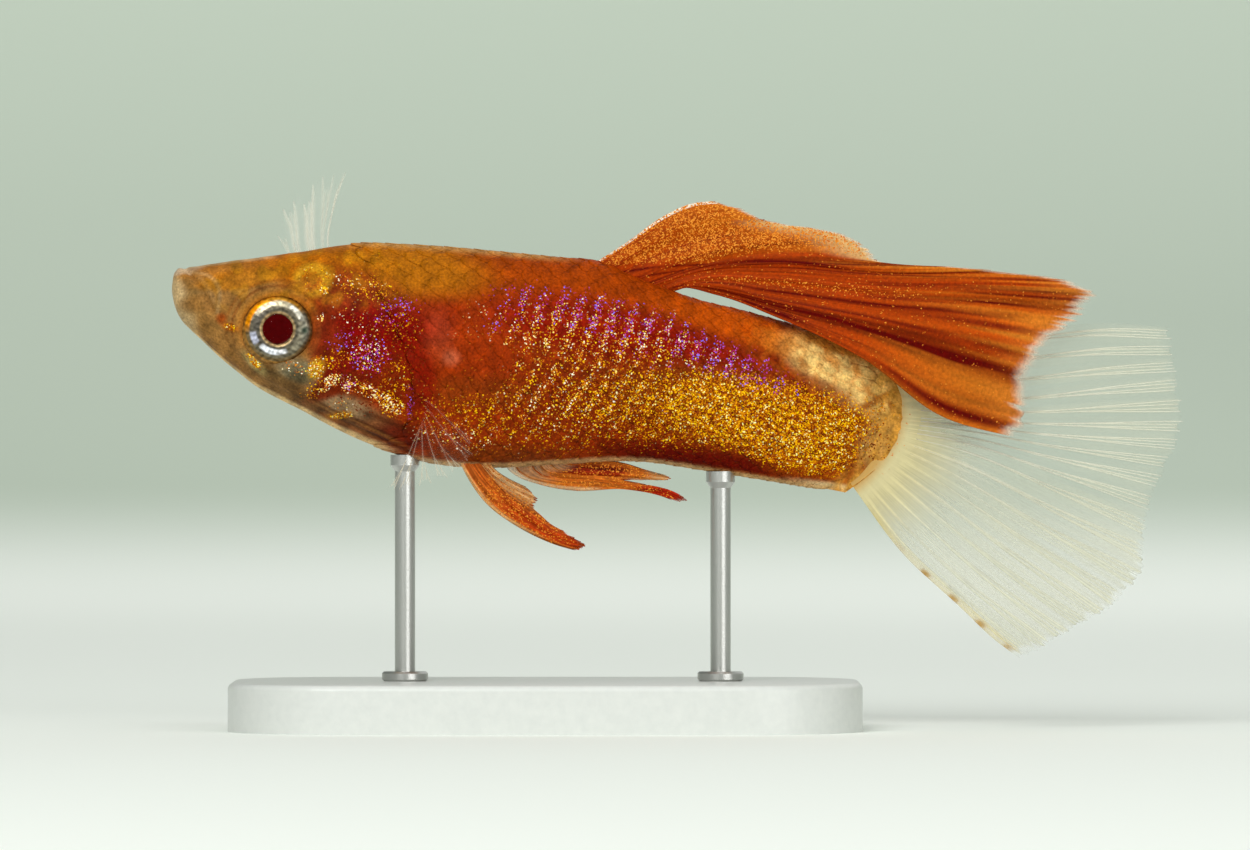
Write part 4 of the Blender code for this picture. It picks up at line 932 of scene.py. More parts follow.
def scale_coat(name, rows, seed):
    places = scale_places(rows)
    shape = bmesh.new()
    bmesh.ops.create_grid(shape, x_segments=SCALE_CELLS, y_segments=SCALE_CELLS, size=1)
    bmesh.ops.solidify(shape, geom=shape.faces[:], thickness=0.5)
    plate_mesh = made_mesh(shape, name)
    plate_mesh.uv_layers.new(name="OFBake")
    a, b, layer = np.clip(mesh_points(plate_mesh), -1, 1).T
    layer = np.abs(layer) / np.abs(layer).max()
    # The square template is rounded to a disc, rooted at its front edge
    lengthwise = a * np.sqrt(1 - b * b / 2)
    crosswise = b * np.sqrt(1 - a * a / 2)
    from_root = (lengthwise + 1) / 2
    guide = bpy.data.objects.new(name, plate_mesh)
    guide.modifiers.new("repeat", "ARRAY").count = len(places)
    mesh = evaluated_mesh(guide)
    draw = np.random.default_rng(seed)
    stations, turns, tones_and_rim_shade, cells = [], [], [], []
    # Every scale differs a little in length and tone, and is painted darker toward its free rim as painted
    # shade
    for root, row, column, angles, shares in places:
        share = row / SCALE_ROWS + crosswise * (SCALE_OVERLAP / SCALE_ROWS)
        turn = np.interp(share % 1, shares, angles) + math.tau * np.floor(share)
        length = SCALE_LONG * draw.uniform(0.96, 1.04)
        stations.append(root + from_root * length)
        turns.append(turn)
        rim = ease((np.hypot(lengthwise, crosswise) - 0.72) / 0.26) * ease((lengthwise + 0.1) / 0.5)
        tones_and_rim_shade.append((1 - 0.09 * rim) * draw.uniform(0.93, 1.07))
        cell_across = (row + 0.5 + 0.46 * crosswise) / SCALE_ROWS
        cell_along = (column + 0.04 + 0.92 * from_root) / (SCALE_COLUMNS + 1)
        cells.append(np.stack((cell_across, cell_along), axis=-1))
    station, turn = np.concatenate(stations), np.concatenate(turns)
    points = body_surface(station, turn)
    rise = SCALE_ROOT + (SCALE_EDGE - SCALE_ROOT) * from_root - SCALE_WALL * (1 - layer)
    flatter = np.tile(0.014 * from_root, len(places)) * between(points[:, 0], *SMOOTH_STRETCH)
    lifted = points + skin_normals(station, turn) * (np.tile(rise, len(places)) - flatter)[:, None]
    set_points(mesh, world_points(lifted))
    x, y, z = points.T
    height = height_at(x, z)
    # The painted shade at the scale rims is strongest on the back and weaker behind the head
    on_back = ease((z + 2.6 + 0.10 * (x - 10)) / 1.2)
    plain = 1 - 0.6 * between(x, *SMOOTH_STRETCH)
    shade = 1 - (1 - np.concatenate(tones_and_rim_shade)) * (0.35 + 0.65 * on_back) * plain
    skin_paint(mesh, x, z, height, station, shade)
    corners = np.empty(len(mesh.loops), np.int32)
    mesh.loops.foreach_get("vertex_index", corners)
    mesh.uv_layers["OFBake"].data.foreach_set("uv", np.concatenate(cells)[corners].astype(np.float32).ravel())
    close_up(mesh, 1e-8)
    mesh.shade_smooth()
    coat = place(bpy.data.objects.new(name, mesh), SKIN)
    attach(coat, "root")


scale_coat("scales_right", range(0, SCALE_ROWS // 2), 61)
scale_coat("scales_left", range(SCALE_ROWS // 2, SCALE_ROWS), 62)

# The eyes: a ball with a silver iris round a dark red pupil, set in the orbit behind a clear bulging cornea.
# The pupil is dark red, as the fish has no black pigment. The iris shines like foil, with a golden upper rim.
EYE_BALL = (1.60, 0.80, 1.50)
CORNEA = (1.52, 0.90, 1.43)
PUPIL = 0.645
PUPIL_RED = colour(70, 1, 2)
DARK_SPOT = (1.10, -0.06)
BALL_SIDES = 160
BALL_RINGS = 96
CORNEA_SIDES = 64
CORNEA_RINGS = 32


def eye_ball(side):
    shape = bmesh.new()
    bmesh.ops.create_uvsphere(shape, u_segments=BALL_SIDES, v_segments=BALL_RINGS, radius=1)
    mesh = made_mesh(shape, "eye_ball")
    px, pz, py = mesh_points(mesh).T
    radius = np.hypot(px * EYE_BALL[0], pz * EYE_BALL[2])
    front = py > 0
    reach = np.clip(np.hypot(px, pz), 0, 1)
    # The front is flattened to a disc with a rolled iris and a shallow hollow at the pupil
    py = np.where(front, (1 - reach ** 6.0) ** (1 / 2.2), py)
    flatten = np.where(front, 1 - 0.07 * ease((1.3 - radius) / 1.3), 1)
    pupil_hollow = np.where(front, 0.06 * ease((PUPIL + 0.04 - radius) / 0.08), 0)
    iris_roll = np.where(front, 0.035 * bell(radius - 0.80, 0.14), 0)
    depth = py * EYE_BALL[1] * flatten + iris_roll - pupil_hollow
    points = np.stack((px * EYE_BALL[0], depth * side, pz * EYE_BALL[2]), axis=-1)
    points = points + np.array((EYE[0], side * EYE[1], EYE[2]))
    set_points(mesh, world_points(points))
    angle = np.arctan2(pz * EYE_BALL[2], px * EYE_BALL[0])
    draw = np.random.default_rng(77)
    spokes = np.zeros(len(px))
    for wave in range(1, 15):
        spokes += np.sin(angle * wave * 3 + draw.uniform(0, math.tau) + radius * draw.uniform(-6, 6)) / 4
    foil = 1 + 0.09 * spokes + 0.34 * ring_noise(px * EYE_BALL[0], pz * EYE_BALL[2], 0.17, 78)
    silver = np.tile(colour(106, 99, 82), (len(px), 1)) * np.clip(foil, 0.30, 2.2)[:, None]
    from_spot = np.hypot(px * EYE_BALL[0] - DARK_SPOT[0], pz * EYE_BALL[2] - DARK_SPOT[1])
    # Each mark on the foil: where it lies, its paint and its strength
    layers = (
        (bell(radius - 0.80, 0.07), colour(84, 78, 66), 0.80),
        (between(radius, 0.74, 1.05, 0.12) * ring_patch(angle, 190, 70), colour(92, 86, 78), 0.75),
        # The tan outer rim: partly the eye's own colour, partly painted lighter against the shadow of the
        # socket
        (ease((radius - 1.16) / 0.08), colour(120, 96, 58), 0.75),
        (ease((radius - 1.30) / 0.05), colour(150, 104, 44), 0.90),
        (bell(radius - 0.68, 0.045), colour(206, 172, 118), 0.85),
        # The next five pale and near-white patches on the ring are painted glints of light
        (between(radius, 0.84, 1.06, 0.08) * ring_patch(angle, -112, 22), colour(244, 246, 255), 1.0),
        (between(radius, 0.90, 1.16, 0.08) * ring_patch(angle, -160, 13), colour(206, 208, 232), 0.7),
        (between(radius, 0.86, 1.04, 0.08) * ring_patch(angle, -80, 12), colour(235, 235, 240), 0.9),
        (between(radius, 0.96, 1.20, 0.08) * ring_patch(angle, 92, 48), colour(222, 208, 176), 0.70),
        (between(radius, 0.96, 1.16, 0.08) * ring_patch(angle, 42, 20), colour(232, 226, 208), 0.85),
        (between(radius, 0.90, 1.16, 0.10) * ring_patch(angle, -30, 26), colour(150, 142, 120), 0.7),
        (between(radius, 1.04, 1.30, 0.10) * ring_patch(angle, 4, 34), colour(96, 94, 84), 0.7),
        (between(radius, 1.16, 1.36, 0.07) * ring_patch(angle, 138, 40), colour(232, 140, 10), 1.0),
        (between(radius, 1.18, 1.34, 0.07) * ring_patch(angle, 80, 40), colour(206, 146, 36), 0.8),
        (bell(from_spot, 0.22), colour(160, 156, 136), 0.9),
        (bell(from_spot, 0.155, power=4), colour(56, 66, 54), 1.0),
    )
    tint = silver
    for amount, paint, strength in layers:
        tint = over(tint, paint * np.clip(foil, 0.55, 1.5)[:, None], amount * strength)
    inside = ease((PUPIL - radius) / 0.03) * front
    tint = over(tint, PUPIL_RED, inside)
    colour_attribute(mesh, "tint", tint)
    value_attribute(mesh, "iris", (1 - inside) * front)
    close_up(mesh)
    mesh.shade_smooth()
    return mesh


def ring_patch(angle, centre, half):
    """A soft stretch of a ring round the eye, in degrees."""
    away = np.abs((np.degrees(angle) - centre + 180) % 360 - 180)
    return ease((half - away) / (half * 0.6) + 0.5)


def eye_material():
    made = plain_material("silver iris", colour(150, 142, 122), 0.28, specular=0.02)
    tree = made.node_tree
    shader = tree.nodes["Principled BSDF"]
    where = object_place(tree)
    grain = noise_node(tree, where, 7.0, 4.0)
    lift = math_node(tree, "MULTIPLY_ADD", grain, 1.0, 0.5)
    tint = mottled(tree, attribute_node(tree, "tint", "Color"), lift)
    tree.links.new(tint, shader.inputs["Base Color"])
    metal = math_node(tree, "MULTIPLY", attribute_node(tree, "iris"), 0.45)
    tree.links.new(metal, shader.inputs["Metallic"])
    tree.links.new(bump_node(tree, grain, 0.00003, 0.5), shader.inputs["Normal"])
    return made


def cornea_material():
    made = plain_material("clear cornea", (1, 1, 1), 0.03)
    shader = made.node_tree.nodes["Principled BSDF"]
    shader.inputs["Transmission Weight"].default_value = 1.0
    shader.inputs["IOR"].default_value = 1.035
    return made


IRIS_MATERIAL = eye_material()
CORNEA_MATERIAL = cornea_material()
for eye_name, side in (("left", -1), ("right", 1)):
    ball = place(bpy.data.objects.new("eye_ball_" + eye_name, eye_ball(side)), IRIS_MATERIAL)
    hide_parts("eye_" + eye_name)
    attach(ball, "root")
    shape = bmesh.new()
    bmesh.ops.create_uvsphere(shape, u_segments=CORNEA_SIDES, v_segments=CORNEA_RINGS, radius=1)
    outward = Vector((0, 0, 1)).rotation_difference((0, side, 0)).to_matrix()
    bmesh.ops.rotate(shape, verts=shape.verts, matrix=outward)
    bmesh.ops.scale(shape, vec=[size * MM for size in CORNEA], verts=shape.verts)
    centre = world_points((EYE[0], side * EYE[1], EYE[2]))
    bmesh.ops.translate(shape, vec=centre, verts=shape.verts)
    cornea_mesh = made_mesh(shape, "cornea_" + eye_name)
    cornea_mesh.shade_smooth()
    cornea = place(bpy.data.objects.new("cornea_" + eye_name, cornea_mesh), CORNEA_MATERIAL)
    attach(cornea, "root")

# The dorsal fin: a long thin sail of red skin over branching rays, rooted on the back and hanging left.
# Each fin is a thin pleated membrane with its rays as fine tapering rods, laid out along a few key rays.
DORSAL_RAYS = (
    ((17.00, 0.00, 0.56), (18.87, 0.00, 1.77), (20.19, 0.00, 2.72), (21.34, 0.00, 3.25),
     (22.66, -0.05, 3.38)),
    ((17.40, 0.00, 0.36), (19.45, -0.02, 1.62), (20.95, -0.04, 2.42), (22.35, -0.07, 2.80),
     (23.90, -0.12, 2.92)),
    ((17.85, 0.00, 0.12), (20.11, -0.05, 1.38), (21.96, -0.10, 2.00), (23.70, -0.15, 2.30),
     (25.45, -0.20, 2.42)),
    ((18.35, 0.00, -0.14), (20.93, -0.10, 0.98), (23.20, -0.20, 1.50), (25.67, -0.34, 1.78),
     (28.08, -0.50, 1.96)),
    ((18.85, 0.00, -0.35), (21.75, -0.16, 0.68), (24.43, -0.40, 1.08), (27.11, -0.65, 1.10),
     (29.83, -0.85, 0.74)),
    ((19.05, 0.00, -0.42), (21.75, -0.18, 0.53), (24.50, -0.46, 0.78), (28.90, -0.85, 0.54),
     (33.30, -1.00, 0.58)),
    ((19.25, 0.00, -0.52), (21.75, -0.20, 0.37), (24.50, -0.56, 0.46), (28.60, -0.98, 0.16),
     (33.30, -1.10, 0.10), (37.50, -1.05, 0.00)),
    ((19.50, 0.00, -0.65), (21.75, -0.25, 0.14), (24.60, -0.72, 0.06), (28.90, -1.20, -0.38),
     (33.50, -1.20, -0.58), (38.05, -1.15, -1.00)),
    ((19.60, 0.00, -0.70), (21.75, -0.28, -0.02), (24.60, -0.90, -0.42), (29.00, -1.45, -1.10),
     (33.20, -1.35, -1.70), (36.60, -1.25, -2.32)),
    ((19.68, 0.00, -0.73), (20.95, -0.18, -0.10), (22.40, -0.35, -0.27), (24.70, -1.05, -0.93),
     (28.76, -1.55, -2.02), (32.47, -1.45, -3.25), (35.60, -1.35, -4.24)),
    ((19.76, 0.00, -0.76), (20.90, -0.18, -0.20), (22.40, -0.38, -0.47), (24.88, -1.15, -1.40),
     (28.43, -1.60, -3.12), (31.64, -1.50, -5.48), (35.25, -1.40, -6.50)),
)


def ray_curve(points):
    """A smooth curve through a ray's points, as a function of the share of its length."""
    steps = [math.dist(a, b) for a, b in zip(points, points[1:])]
    places = np.concatenate([[0.0], np.cumsum(steps)])
    return smooth_curve(places / places[-1], points)


def between_cells(table, row, column, r, c):
    """A table's value part of the way to the next row (r) and the next column (c)."""
    low = table[row, column] * (1 - c) + table[row, column + 1] * c
    high = table[row + 1, column] * (1 - c) + table[row + 1, column + 1] * c
    return low * (1 - r) + high * r


def fin_surface(rays, mirrored=False, columns=400, rows=160):
    """The fin's middle surface as a dense table, read back at any share across and along."""
    key_places = np.linspace(0, 1, len(rays))
    curves = [ray_curve(ray) for ray in rays]
    across = np.linspace(0, 1, columns + 1)
    table = np.empty((rows + 1, columns + 1, 3))
    for row in range(rows + 1):
        keys = [curve(np.array(row / rows)) for curve in curves]
        table[row] = smooth_curve(key_places, keys)(across)
    if mirrored:
        table[..., 1] *= -1

    def read(across_share, along_share):
        column = np.clip(across_share, 0, 1) * columns
        row = np.clip(along_share, 0, 1) * rows
        c0 = np.minimum(column.astype(int), columns - 1)
        r0 = np.minimum(row.astype(int), rows - 1)
        return between_cells(table, r0, c0, (row - r0)[..., None], (column - c0)[..., None])

    return read


FIRST_SPREAD = 0.17
SECOND_SPREAD = 0.085


def fork(share, along_share, count, first_fork, second_fork):
    """How far a place lies from the nearest ray, in ray spacings, where each ray forks twice."""
    spacing = share * count
    away = np.abs(spacing - np.floor(spacing) - 0.5)
    away = np.abs(away - FIRST_SPREAD * ease((along_share - first_fork) / (1 - first_fork)))
    return np.abs(away - SECOND_SPREAD * ease((along_share - second_fork) / (1 - second_fork)))


def ragged_reach(share, count, depth, seed):
    """How far along each ray the fin reaches: full at a ray's tip, less between rays, and uneven."""
    draw = np.random.default_rng(seed)
    tips = draw.uniform(0, 1, 4 * count + 2)
    place_in = share * 4 * count
    index = np.clip(place_in.astype(int), 0, 4 * count)
    blend = ease(place_in - index)
    uneven = tips[index] * (1 - blend) + tips[index + 1] * blend
    between_rays = np.abs(np.cos(place_in * math.pi))
    return 1 - depth * (0.65 * uneven + 0.35 * (1 - between_rays))


def fin_sheet(name, surface, columns, rows, thickness, pleat, reach):
    """The membrane of a fin: a pleated grid, given its thin wall by Solidify."""
    mesh, share, along_share = grid_mesh(name, columns, rows)
    length = along_share * reach(share)
    points = surface(share, length)
    points[:, 1] += pleat(share, along_share)
    set_points(mesh, world_points(points))
    obj = bpy.data.objects.new(name, mesh)
    wall = obj.modifiers.new("wall", "SOLIDIFY")
    wall.thickness = thickness * MM
    wall.offset = 0
    mesh.shade_smooth()
    return obj, mesh, share, length


def fin_rays(name, surface, count, forks, radii, pleat, reach, starts=0.06, steps=26):
    """The rays of a fin as thin rods that fork twice, in one mesh."""
    first_fork, second_fork = forks
    start_radius, tip_radius = radii
    curve = bpy.data.curves.new(name, "CURVE")
    curve.dimensions = "3D"
    curve.bevel_depth = MM
    curve.bevel_resolution = 1
    curve.use_fill_caps = True

    def add(share_at, begin, end, first_width, last_width):
        run = np.linspace(begin, end, max(5, int(steps * (end - begin))))
        share = share_at(run)
        length = run * reach(share)
        points = surface(share, length)
        points[:, 1] += pleat(share, run)
        spline = curve.splines.new("POLY")
        spline.points.add(len(run) - 1)
        widths = first_width + (last_width - first_width) * (run - begin) / (end - begin)
        for target, point, width in zip(spline.points, world_points(points), widths):
            target.co = (*point, 1)
            target.radius = width

    for ray in range(count):
        middle = (ray + 0.5) / count
        width_at = lambda run: start_radius + (tip_radius - start_radius) * run
        add(lambda run: np.full(len(run), middle), starts, first_fork, width_at(starts), width_at(first_fork))
        for first in (-1, 1):
            def half(run, first=first):
                return middle + first * FIRST_SPREAD / count * ease((run - first_fork) / (1 - first_fork))
            add(half, first_fork, second_fork, width_at(first_fork), width_at(second_fork))
            for second in (-1, 1):
                def quarter(run, first=first, second=second):
                    more = SECOND_SPREAD / count * ease((run - second_fork) / (1 - second_fork))
                    return half(run, first) + second * more
                add(quarter, second_fork, 1.0, width_at(second_fork), tip_radius)
    mesh = evaluated_mesh(bpy.data.objects.new(name, curve))
    close_up(mesh)
    mesh.name = name
    mesh.shade_smooth()
    return bpy.data.objects.new(name, mesh)


def fin_material(name, roughness, grain_scale, mottle):
    """Fin skin: colour from the membrane's own tint, with fine speckle, and clear where the membrane is."""
    made = plain_material(name, colour(170, 70, 16), roughness, specular=0.03)
    tree = made.node_tree
    shader = tree.nodes["Principled BSDF"]
    where = object_place(tree)
    grain = noise_node(tree, where, grain_scale, 3.0)
    lift = math_node(tree, "MULTIPLY_ADD", grain, mottle, 1 - mottle / 2)
    tint = mottled(tree, attribute_node(tree, "tint", "Color"), lift)
    fleck, brightness = flecks(tree, where, 21.0, attribute_node(tree, "speckle"))[:2]
    dot_tint = mix_colour(tree, brightness, colour(190, 84, 6), colour(234, 150, 50))
    result = mix_colour(tree, fleck, tint, dot_tint)
    tree.links.new(result, shader.inputs["Base Color"])
    tree.links.new(bump_node(tree, grain, 0.00003, 0.5), shader.inputs["Normal"])
    tree.links.new(attribute_node(tree, "cover"), shader.inputs["Alpha"])
    return made


RED_FIN = fin_material("red fin skin", 0.46, 8.0, 1.1)
DORSAL_COUNT = 11
DORSAL_SURFACE = fin_surface(DORSAL_RAYS)


def dorsal_pleat(share, along_share):
    wave = np.sin(share * math.tau * 5.5 + 0.8 * np.sin(along_share * 3)) * 0.06
    flutter = np.sin(along_share * 5.5 + share * 7) * 0.06
    return (wave + flutter) * ease(along_share / 0.35)


def dorsal_reach(share):
    return ragged_reach(share, DORSAL_COUNT, 0.032, 21)


def strip_noise(share, along_share, count, stretch, seed):
    """Streaks that run along the rays: fine across the fin and slow along it."""
    draw = np.random.default_rng(seed)
    table = draw.uniform(-1, 1, (stretch + 2, count + 2))
    column = share * count
    row = along_share * stretch
    c0 = np.clip(column.astype(int), 0, count)
    r0 = np.clip(row.astype(int), 0, stretch)
    return between_cells(table, r0, c0, ease(row - r0), ease(column - c0))


# Dark folds of the fin: (share across at the root, at the tip, half width, start and end along, strength)
DORSAL_FOLDS = (
    (0.40, 0.55, 0.045, 0.00, 0.62, 1.00), (0.50, 0.60, 0.012, 0.15, 0.95, 0.70),
    (0.56, 0.52, 0.010, 0.60, 1.00, 0.70), (0.62, 0.66, 0.016, 0.50, 1.00, 0.65),
    (0.80, 0.76, 0.014, 0.00, 0.85, 0.90), (0.77, 0.71, 0.012, 0.50, 1.00, 0.80),
    (0.88, 0.895, 0.028, 0.00, 0.60, 0.95), (0.89, 0.895, 0.018, 0.50, 1.02, 1.00),
    (0.84, 0.85, 0.010, 0.20, 0.95, 0.60), (0.96, 0.96, 0.030, 0.0, 0.40, 0.90),
    (0.975, 0.985, 0.010, 0.60, 0.97, 0.80), (0.46, 0.47, 0.008, 0.60, 1.00, 0.80),
    (0.69, 0.68, 0.008, 0.70, 1.00, 0.70), (0.44, 0.44, 0.010, 0.85, 1.02, 0.90),
    (0.22, 0.24, 0.012, 0.1, 0.7, 0.35), (0.30, 0.33, 0.012, 0.1, 0.8, 0.45),
    (0.14, 0.98, 0.018, 0.0, 0.36, 0.90), (0.24, 0.92, 0.014, 0.0, 0.34, 0.80),
    (0.34, 0.80, 0.012, 0.0, 0.40, 0.70),
)


def feathered(share, length, count, depth, seed):
    """1 over the fin and 0 past its worn edge, where the membrane has frayed between the tips of its rays."""
    fray = 0.5 + 0.5 * strip_noise(share, length, count, 1, seed)
    return ease((1 - depth * fray - length) / 0.03 + 0.5)


def dorsal_fray(share, length):
    return feathered(share, length, 200, 0.05, 51) * feathered(share, length, 26, 0.06, 57)


def dorsal_colours(share, length):
    tint = np.tile(colour(154, 51, 1), (len(share), 1))
    # The upper part is browner, and the sail grows lighter toward its hind edge
    upper = ease((0.42 - 0.30 * ease((0.34 - length) / 0.28) - share) / 0.10)
    tint = over(tint, colour(150, 62, 3), 0.85 * upper)
    forward = upper * ease((0.55 - length) / 0.5)
    tint = over(tint, colour(158, 56, 1), 0.7 * forward)
    rearward = 0.34 * ease((length - 0.45) / 0.45) * (0.6 + 0.8 * strip_noise(share, length, 30, 3, 6))
    tint = over(tint, colour(192, 98, 16), np.clip(rearward, 0, 1))
    # Streaks along the rays, weaker on the upper part, and lighter and darker bands near the tips
    streaks = strip_noise(share, length, 46, 3, 4)
    fine = strip_noise(share, length, 150, 6, 9)
    lower = 1 - 0.6 * upper
    tint = tint * (1 + lower * (0.34 * streaks + 0.30 * fine))[:, None]
    bands = strip_noise(share, length, 64, 2, 77) * lower * ease((length - 0.50) / 0.40)
    tint = over(tint, colour(214, 128, 34), np.clip(0.90 * bands, 0, 1))
    tint = over(tint, colour(112, 16, 2), np.clip(-0.90 * bands, 0, 1))
    dark = np.zeros(len(share))
    uneven = 0.8 + 0.4 * strip_noise(share, length, 120, 9, 31)
    for begin_share, end_share, half, begin, end, strength in DORSAL_FOLDS:
        middle = begin_share + (end_share - begin_share) * length
        window = ease((length - begin) / 0.10 + 0.5) * ease((end - length) / 0.14 + 0.5)
        dark = np.maximum(dark, strength * uneven * bell(share - middle, half) * window)
    tint = over(tint, colour(88, 3, 0), np.clip(1.2 * dark, 0, 1))
    # Pale tips, and a white fringe along the front ray and the worn edge
    soft_tip = ease((length - 0.84) / 0.16) * (1 - 0.8 * ease(dark * 2))
    tint = over(tint, colour(206, 120, 40), 0.65 * soft_tip)
    pale_tip = ease((length - 0.72) / 0.25) * between(share, 0.16, 0.42, 0.05)
    tint = over(tint, colour(214, 176, 116), 0.85 * pale_tip)
    fringe = 1 - dorsal_fray(share, length + 0.010)
    edge = np.maximum(ease((0.022 - share) / 0.010), 0.60 * fringe)
    return over(tint, colour(240, 226, 204), edge)


dorsal, dorsal_mesh, share, length = fin_sheet(
    "dorsal_membrane", DORSAL_SURFACE, columns=420, rows=90, thickness=0.09,
    pleat=dorsal_pleat, reach=dorsal_reach,
)
colour_attribute(dorsal_mesh, "tint", dorsal_colours(share, length))
# Golden speckles on the upper part of the sail and along one row
sheen_row = bell(share - 0.72 + 0.04 * length, 0.035) * between(length, 0.08, 0.6, 0.1)
sail = ease((0.40 - 0.28 * ease((0.32 - length) / 0.28) - share) / 0.10)
value_attribute(dorsal_mesh, "speckle", 0.42 * sail + 0.16 * sheen_row + 0.03)
dorsal_cover = (0.98 - 0.30 * ease((length - 0.92) / 0.08)) * dorsal_fray(share, length)
value_attribute(dorsal_mesh, "cover", dorsal_cover)
place(dorsal, RED_FIN)
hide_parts("dorsal_fin")
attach(dorsal, "root")


def tinted_rays(obj, tint, cover, speckle=0.0):
    """Gives a set of rays the same attributes that its fin's material reads."""
    count = len(obj.data.vertices)
    colour_attribute(obj.data, "tint", np.tile(tint, (count, 1)))
    value_attribute(obj.data, "cover", np.full(count, cover))
    value_attribute(obj.data, "speckle", np.full(count, speckle))
    return obj


dorsal_rays = fin_rays(
    "dorsal_rays", DORSAL_SURFACE, DORSAL_COUNT, forks=(0.30, 0.62), radii=(0.065, 0.022),
    pleat=dorsal_pleat, reach=lambda share: 0.96 * dorsal_reach(share),
)
place(tinted_rays(dorsal_rays, colour(146, 46, 4), 1.0, 0.1), RED_FIN)
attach(dorsal_rays, "root")

# The caudal fin: a big clear fan on the end of the stalk, colourless skin over nineteen forking white rays.
# Its lower rays reach furthest down, and its lower edge carries a few tan dashes.
CAUDAL_RAYS = (
    ((28.84, 0.00, -3.09), (31.64, 0.03, -2.47), (34.94, 0.10, -1.98), (38.23, 0.25, -1.65),
     (41.20, 0.45, -1.81)),
    ((29.30, 0.00, -3.95), (32.20, 0.03, -3.65), (35.20, 0.10, -3.30), (38.35, 0.25, -3.00),
     (41.35, 0.45, -2.92)),
    ((29.60, 0.00, -4.80), (32.60, 0.03, -4.80), (35.40, 0.10, -4.70), (38.45, 0.25, -4.40),
     (41.50, 0.45, -4.15)),
    ((29.68, 0.00, -5.40), (32.70, 0.03, -5.58), (35.50, 0.10, -5.65), (38.60, 0.25, -5.65),
     (41.70, 0.45, -5.65)),
    ((29.66, 0.00, -5.66), (32.90, 0.03, -5.98), (36.00, 0.10, -6.42), (38.75, 0.25, -6.72),
     (41.35, 0.45, -6.95)),
    ((29.62, 0.00, -5.90), (32.95, 0.03, -6.42), (36.20, 0.10, -7.25), (38.60, 0.25, -7.80),
     (40.75, 0.42, -8.30)),
    ((29.55, 0.00, -6.14), (32.90, 0.03, -6.95), (36.40, 0.10, -8.40), (38.50, 0.25, -9.25),
     (40.25, 0.42, -10.00)),
    ((29.40, 0.00, -6.42), (32.40, 0.03, -7.75), (36.00, 0.10, -9.70), (38.10, 0.22, -10.80),
     (40.05, 0.40, -11.80)),
    ((29.12, 0.00, -6.85), (31.65, 0.03, -8.45), (35.00, 0.10, -10.80), (37.00, 0.20, -12.10),
     (38.80, 0.36, -13.35)),
    ((28.80, 0.00, -7.35), (31.10, 0.03, -9.25), (34.05, 0.10, -11.65), (36.00, 0.20, -13.05),
     (37.60, 0.33, -14.10)),
    ((28.40, 0.00, -7.85), (30.55, 0.03, -10.15), (33.25, 0.10, -12.60), (34.95, 0.18, -13.90),
     (36.20, 0.30, -14.90)),
    ((27.95, 0.00, -8.25), (30.12, 0.03, -11.15), (32.45, 0.10, -13.33), (33.88, 0.18, -14.68),
     (34.95, 0.28, -15.48)),
)
CAUDAL_COUNT = 19
CAUDAL_SURFACE = fin_surface(CAUDAL_RAYS)
CLEAR_FIN = fin_material("clear fin skin", 0.38, 5.0, 0.15)


def caudal_pleat(share, along_share):
    return 0.07 * np.sin(share * math.tau * 7 + along_share * 2) * ease(along_share / 0.3)


def caudal_reach(share):
    return ragged_reach(share, CAUDAL_COUNT, 0.030, 33)


def caudal_colours(share, length):
    tint = np.tile(colour(214, 213, 190), (len(share), 1))
    near_root = ease((0.34 - length) / 0.24)
    tint = over(tint, colour(216, 204, 152), 0.90 * near_root)
    at_root = ease((0.07 - length) / 0.06)
    tint = over(tint, colour(202, 148, 62), 0.80 * at_root)
    low_edge = ease((share - 0.965) / 0.03) * between(length, 0.15, 0.97, 0.1)
    dashes = ease(np.sin(length * math.tau * 6.6 + 0.6) * 0.9) * between(length, 0.34, 0.95, 0.12)
    tint = over(tint, colour(226, 206, 132), 0.8 * low_edge)
    tint = over(tint, colour(186, 136, 40), 0.85 * ease((share - 0.976) / 0.016) * dashes)
    return tint, low_edge, dashes


caudal, caudal_mesh, share, length = fin_sheet(
    "caudal_membrane", CAUDAL_SURFACE, columns=480, rows=90, thickness=0.06,
    pleat=caudal_pleat, reach=caudal_reach,
)
# The membrane shows most near its rays, at its root and in its lower half, and is worn at its edge
caudal_tint, low_edge, dashes = caudal_colours(share, length)
near_ray = bell(fork(share, length, CAUDAL_COUNT, 0.30, 0.60) * (1 + 3 * length), 0.16)
streak = strip_noise(share, length, 90, 4, 17)
hair = strip_noise(share, length, 230, 3, 18)
along_rays = ease(length / 0.2) * (0.14 * near_ray + 0.05 * streak + 0.07 * hair)
colour_attribute(caudal_mesh, "tint", caudal_tint * (0.90 + along_rays)[:, None])
cover = 0.10 + 0.42 * ease((0.42 - length) / 0.34) + 0.40 * ease((0.16 - length) / 0.12)
cover = cover + 0.18 * near_ray + 0.06 * streak
cover = cover + (0.20 + 0.16 * near_ray + 0.10 * hair) * ease((share - 0.42) / 0.3)
cover = cover * feathered(share, length, 130, 0.05, 71)
cover = np.maximum(cover, 0.75 * low_edge * dashes)
value_attribute(caudal_mesh, "cover", np.clip(cover, 0.05, 0.95))
root_speckle = 0.04 * between(length, 0.0, 0.07, 0.06) * between(share, 0.15, 0.85, 0.2)
value_attribute(caudal_mesh, "speckle", root_speckle)
place(caudal, CLEAR_FIN)
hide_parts("caudal_fin")
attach(caudal, "root")


def fish_points(mesh):
    """The points of a mesh in the scene as fish millimetres."""
    return (mesh_points(mesh) - SNOUT) / MM


caudal_rays = fin_rays(
    "caudal_rays", CAUDAL_SURFACE, CAUDAL_COUNT, forks=(0.26, 0.58), radii=(0.046, 0.016),
    pleat=caudal_pleat, reach=caudal_reach, starts=0.10,
)
tinted_rays(caudal_rays, colour(240, 239, 224), 0.5)
ray_x, _, ray_z = fish_points(caudal_rays.data).T
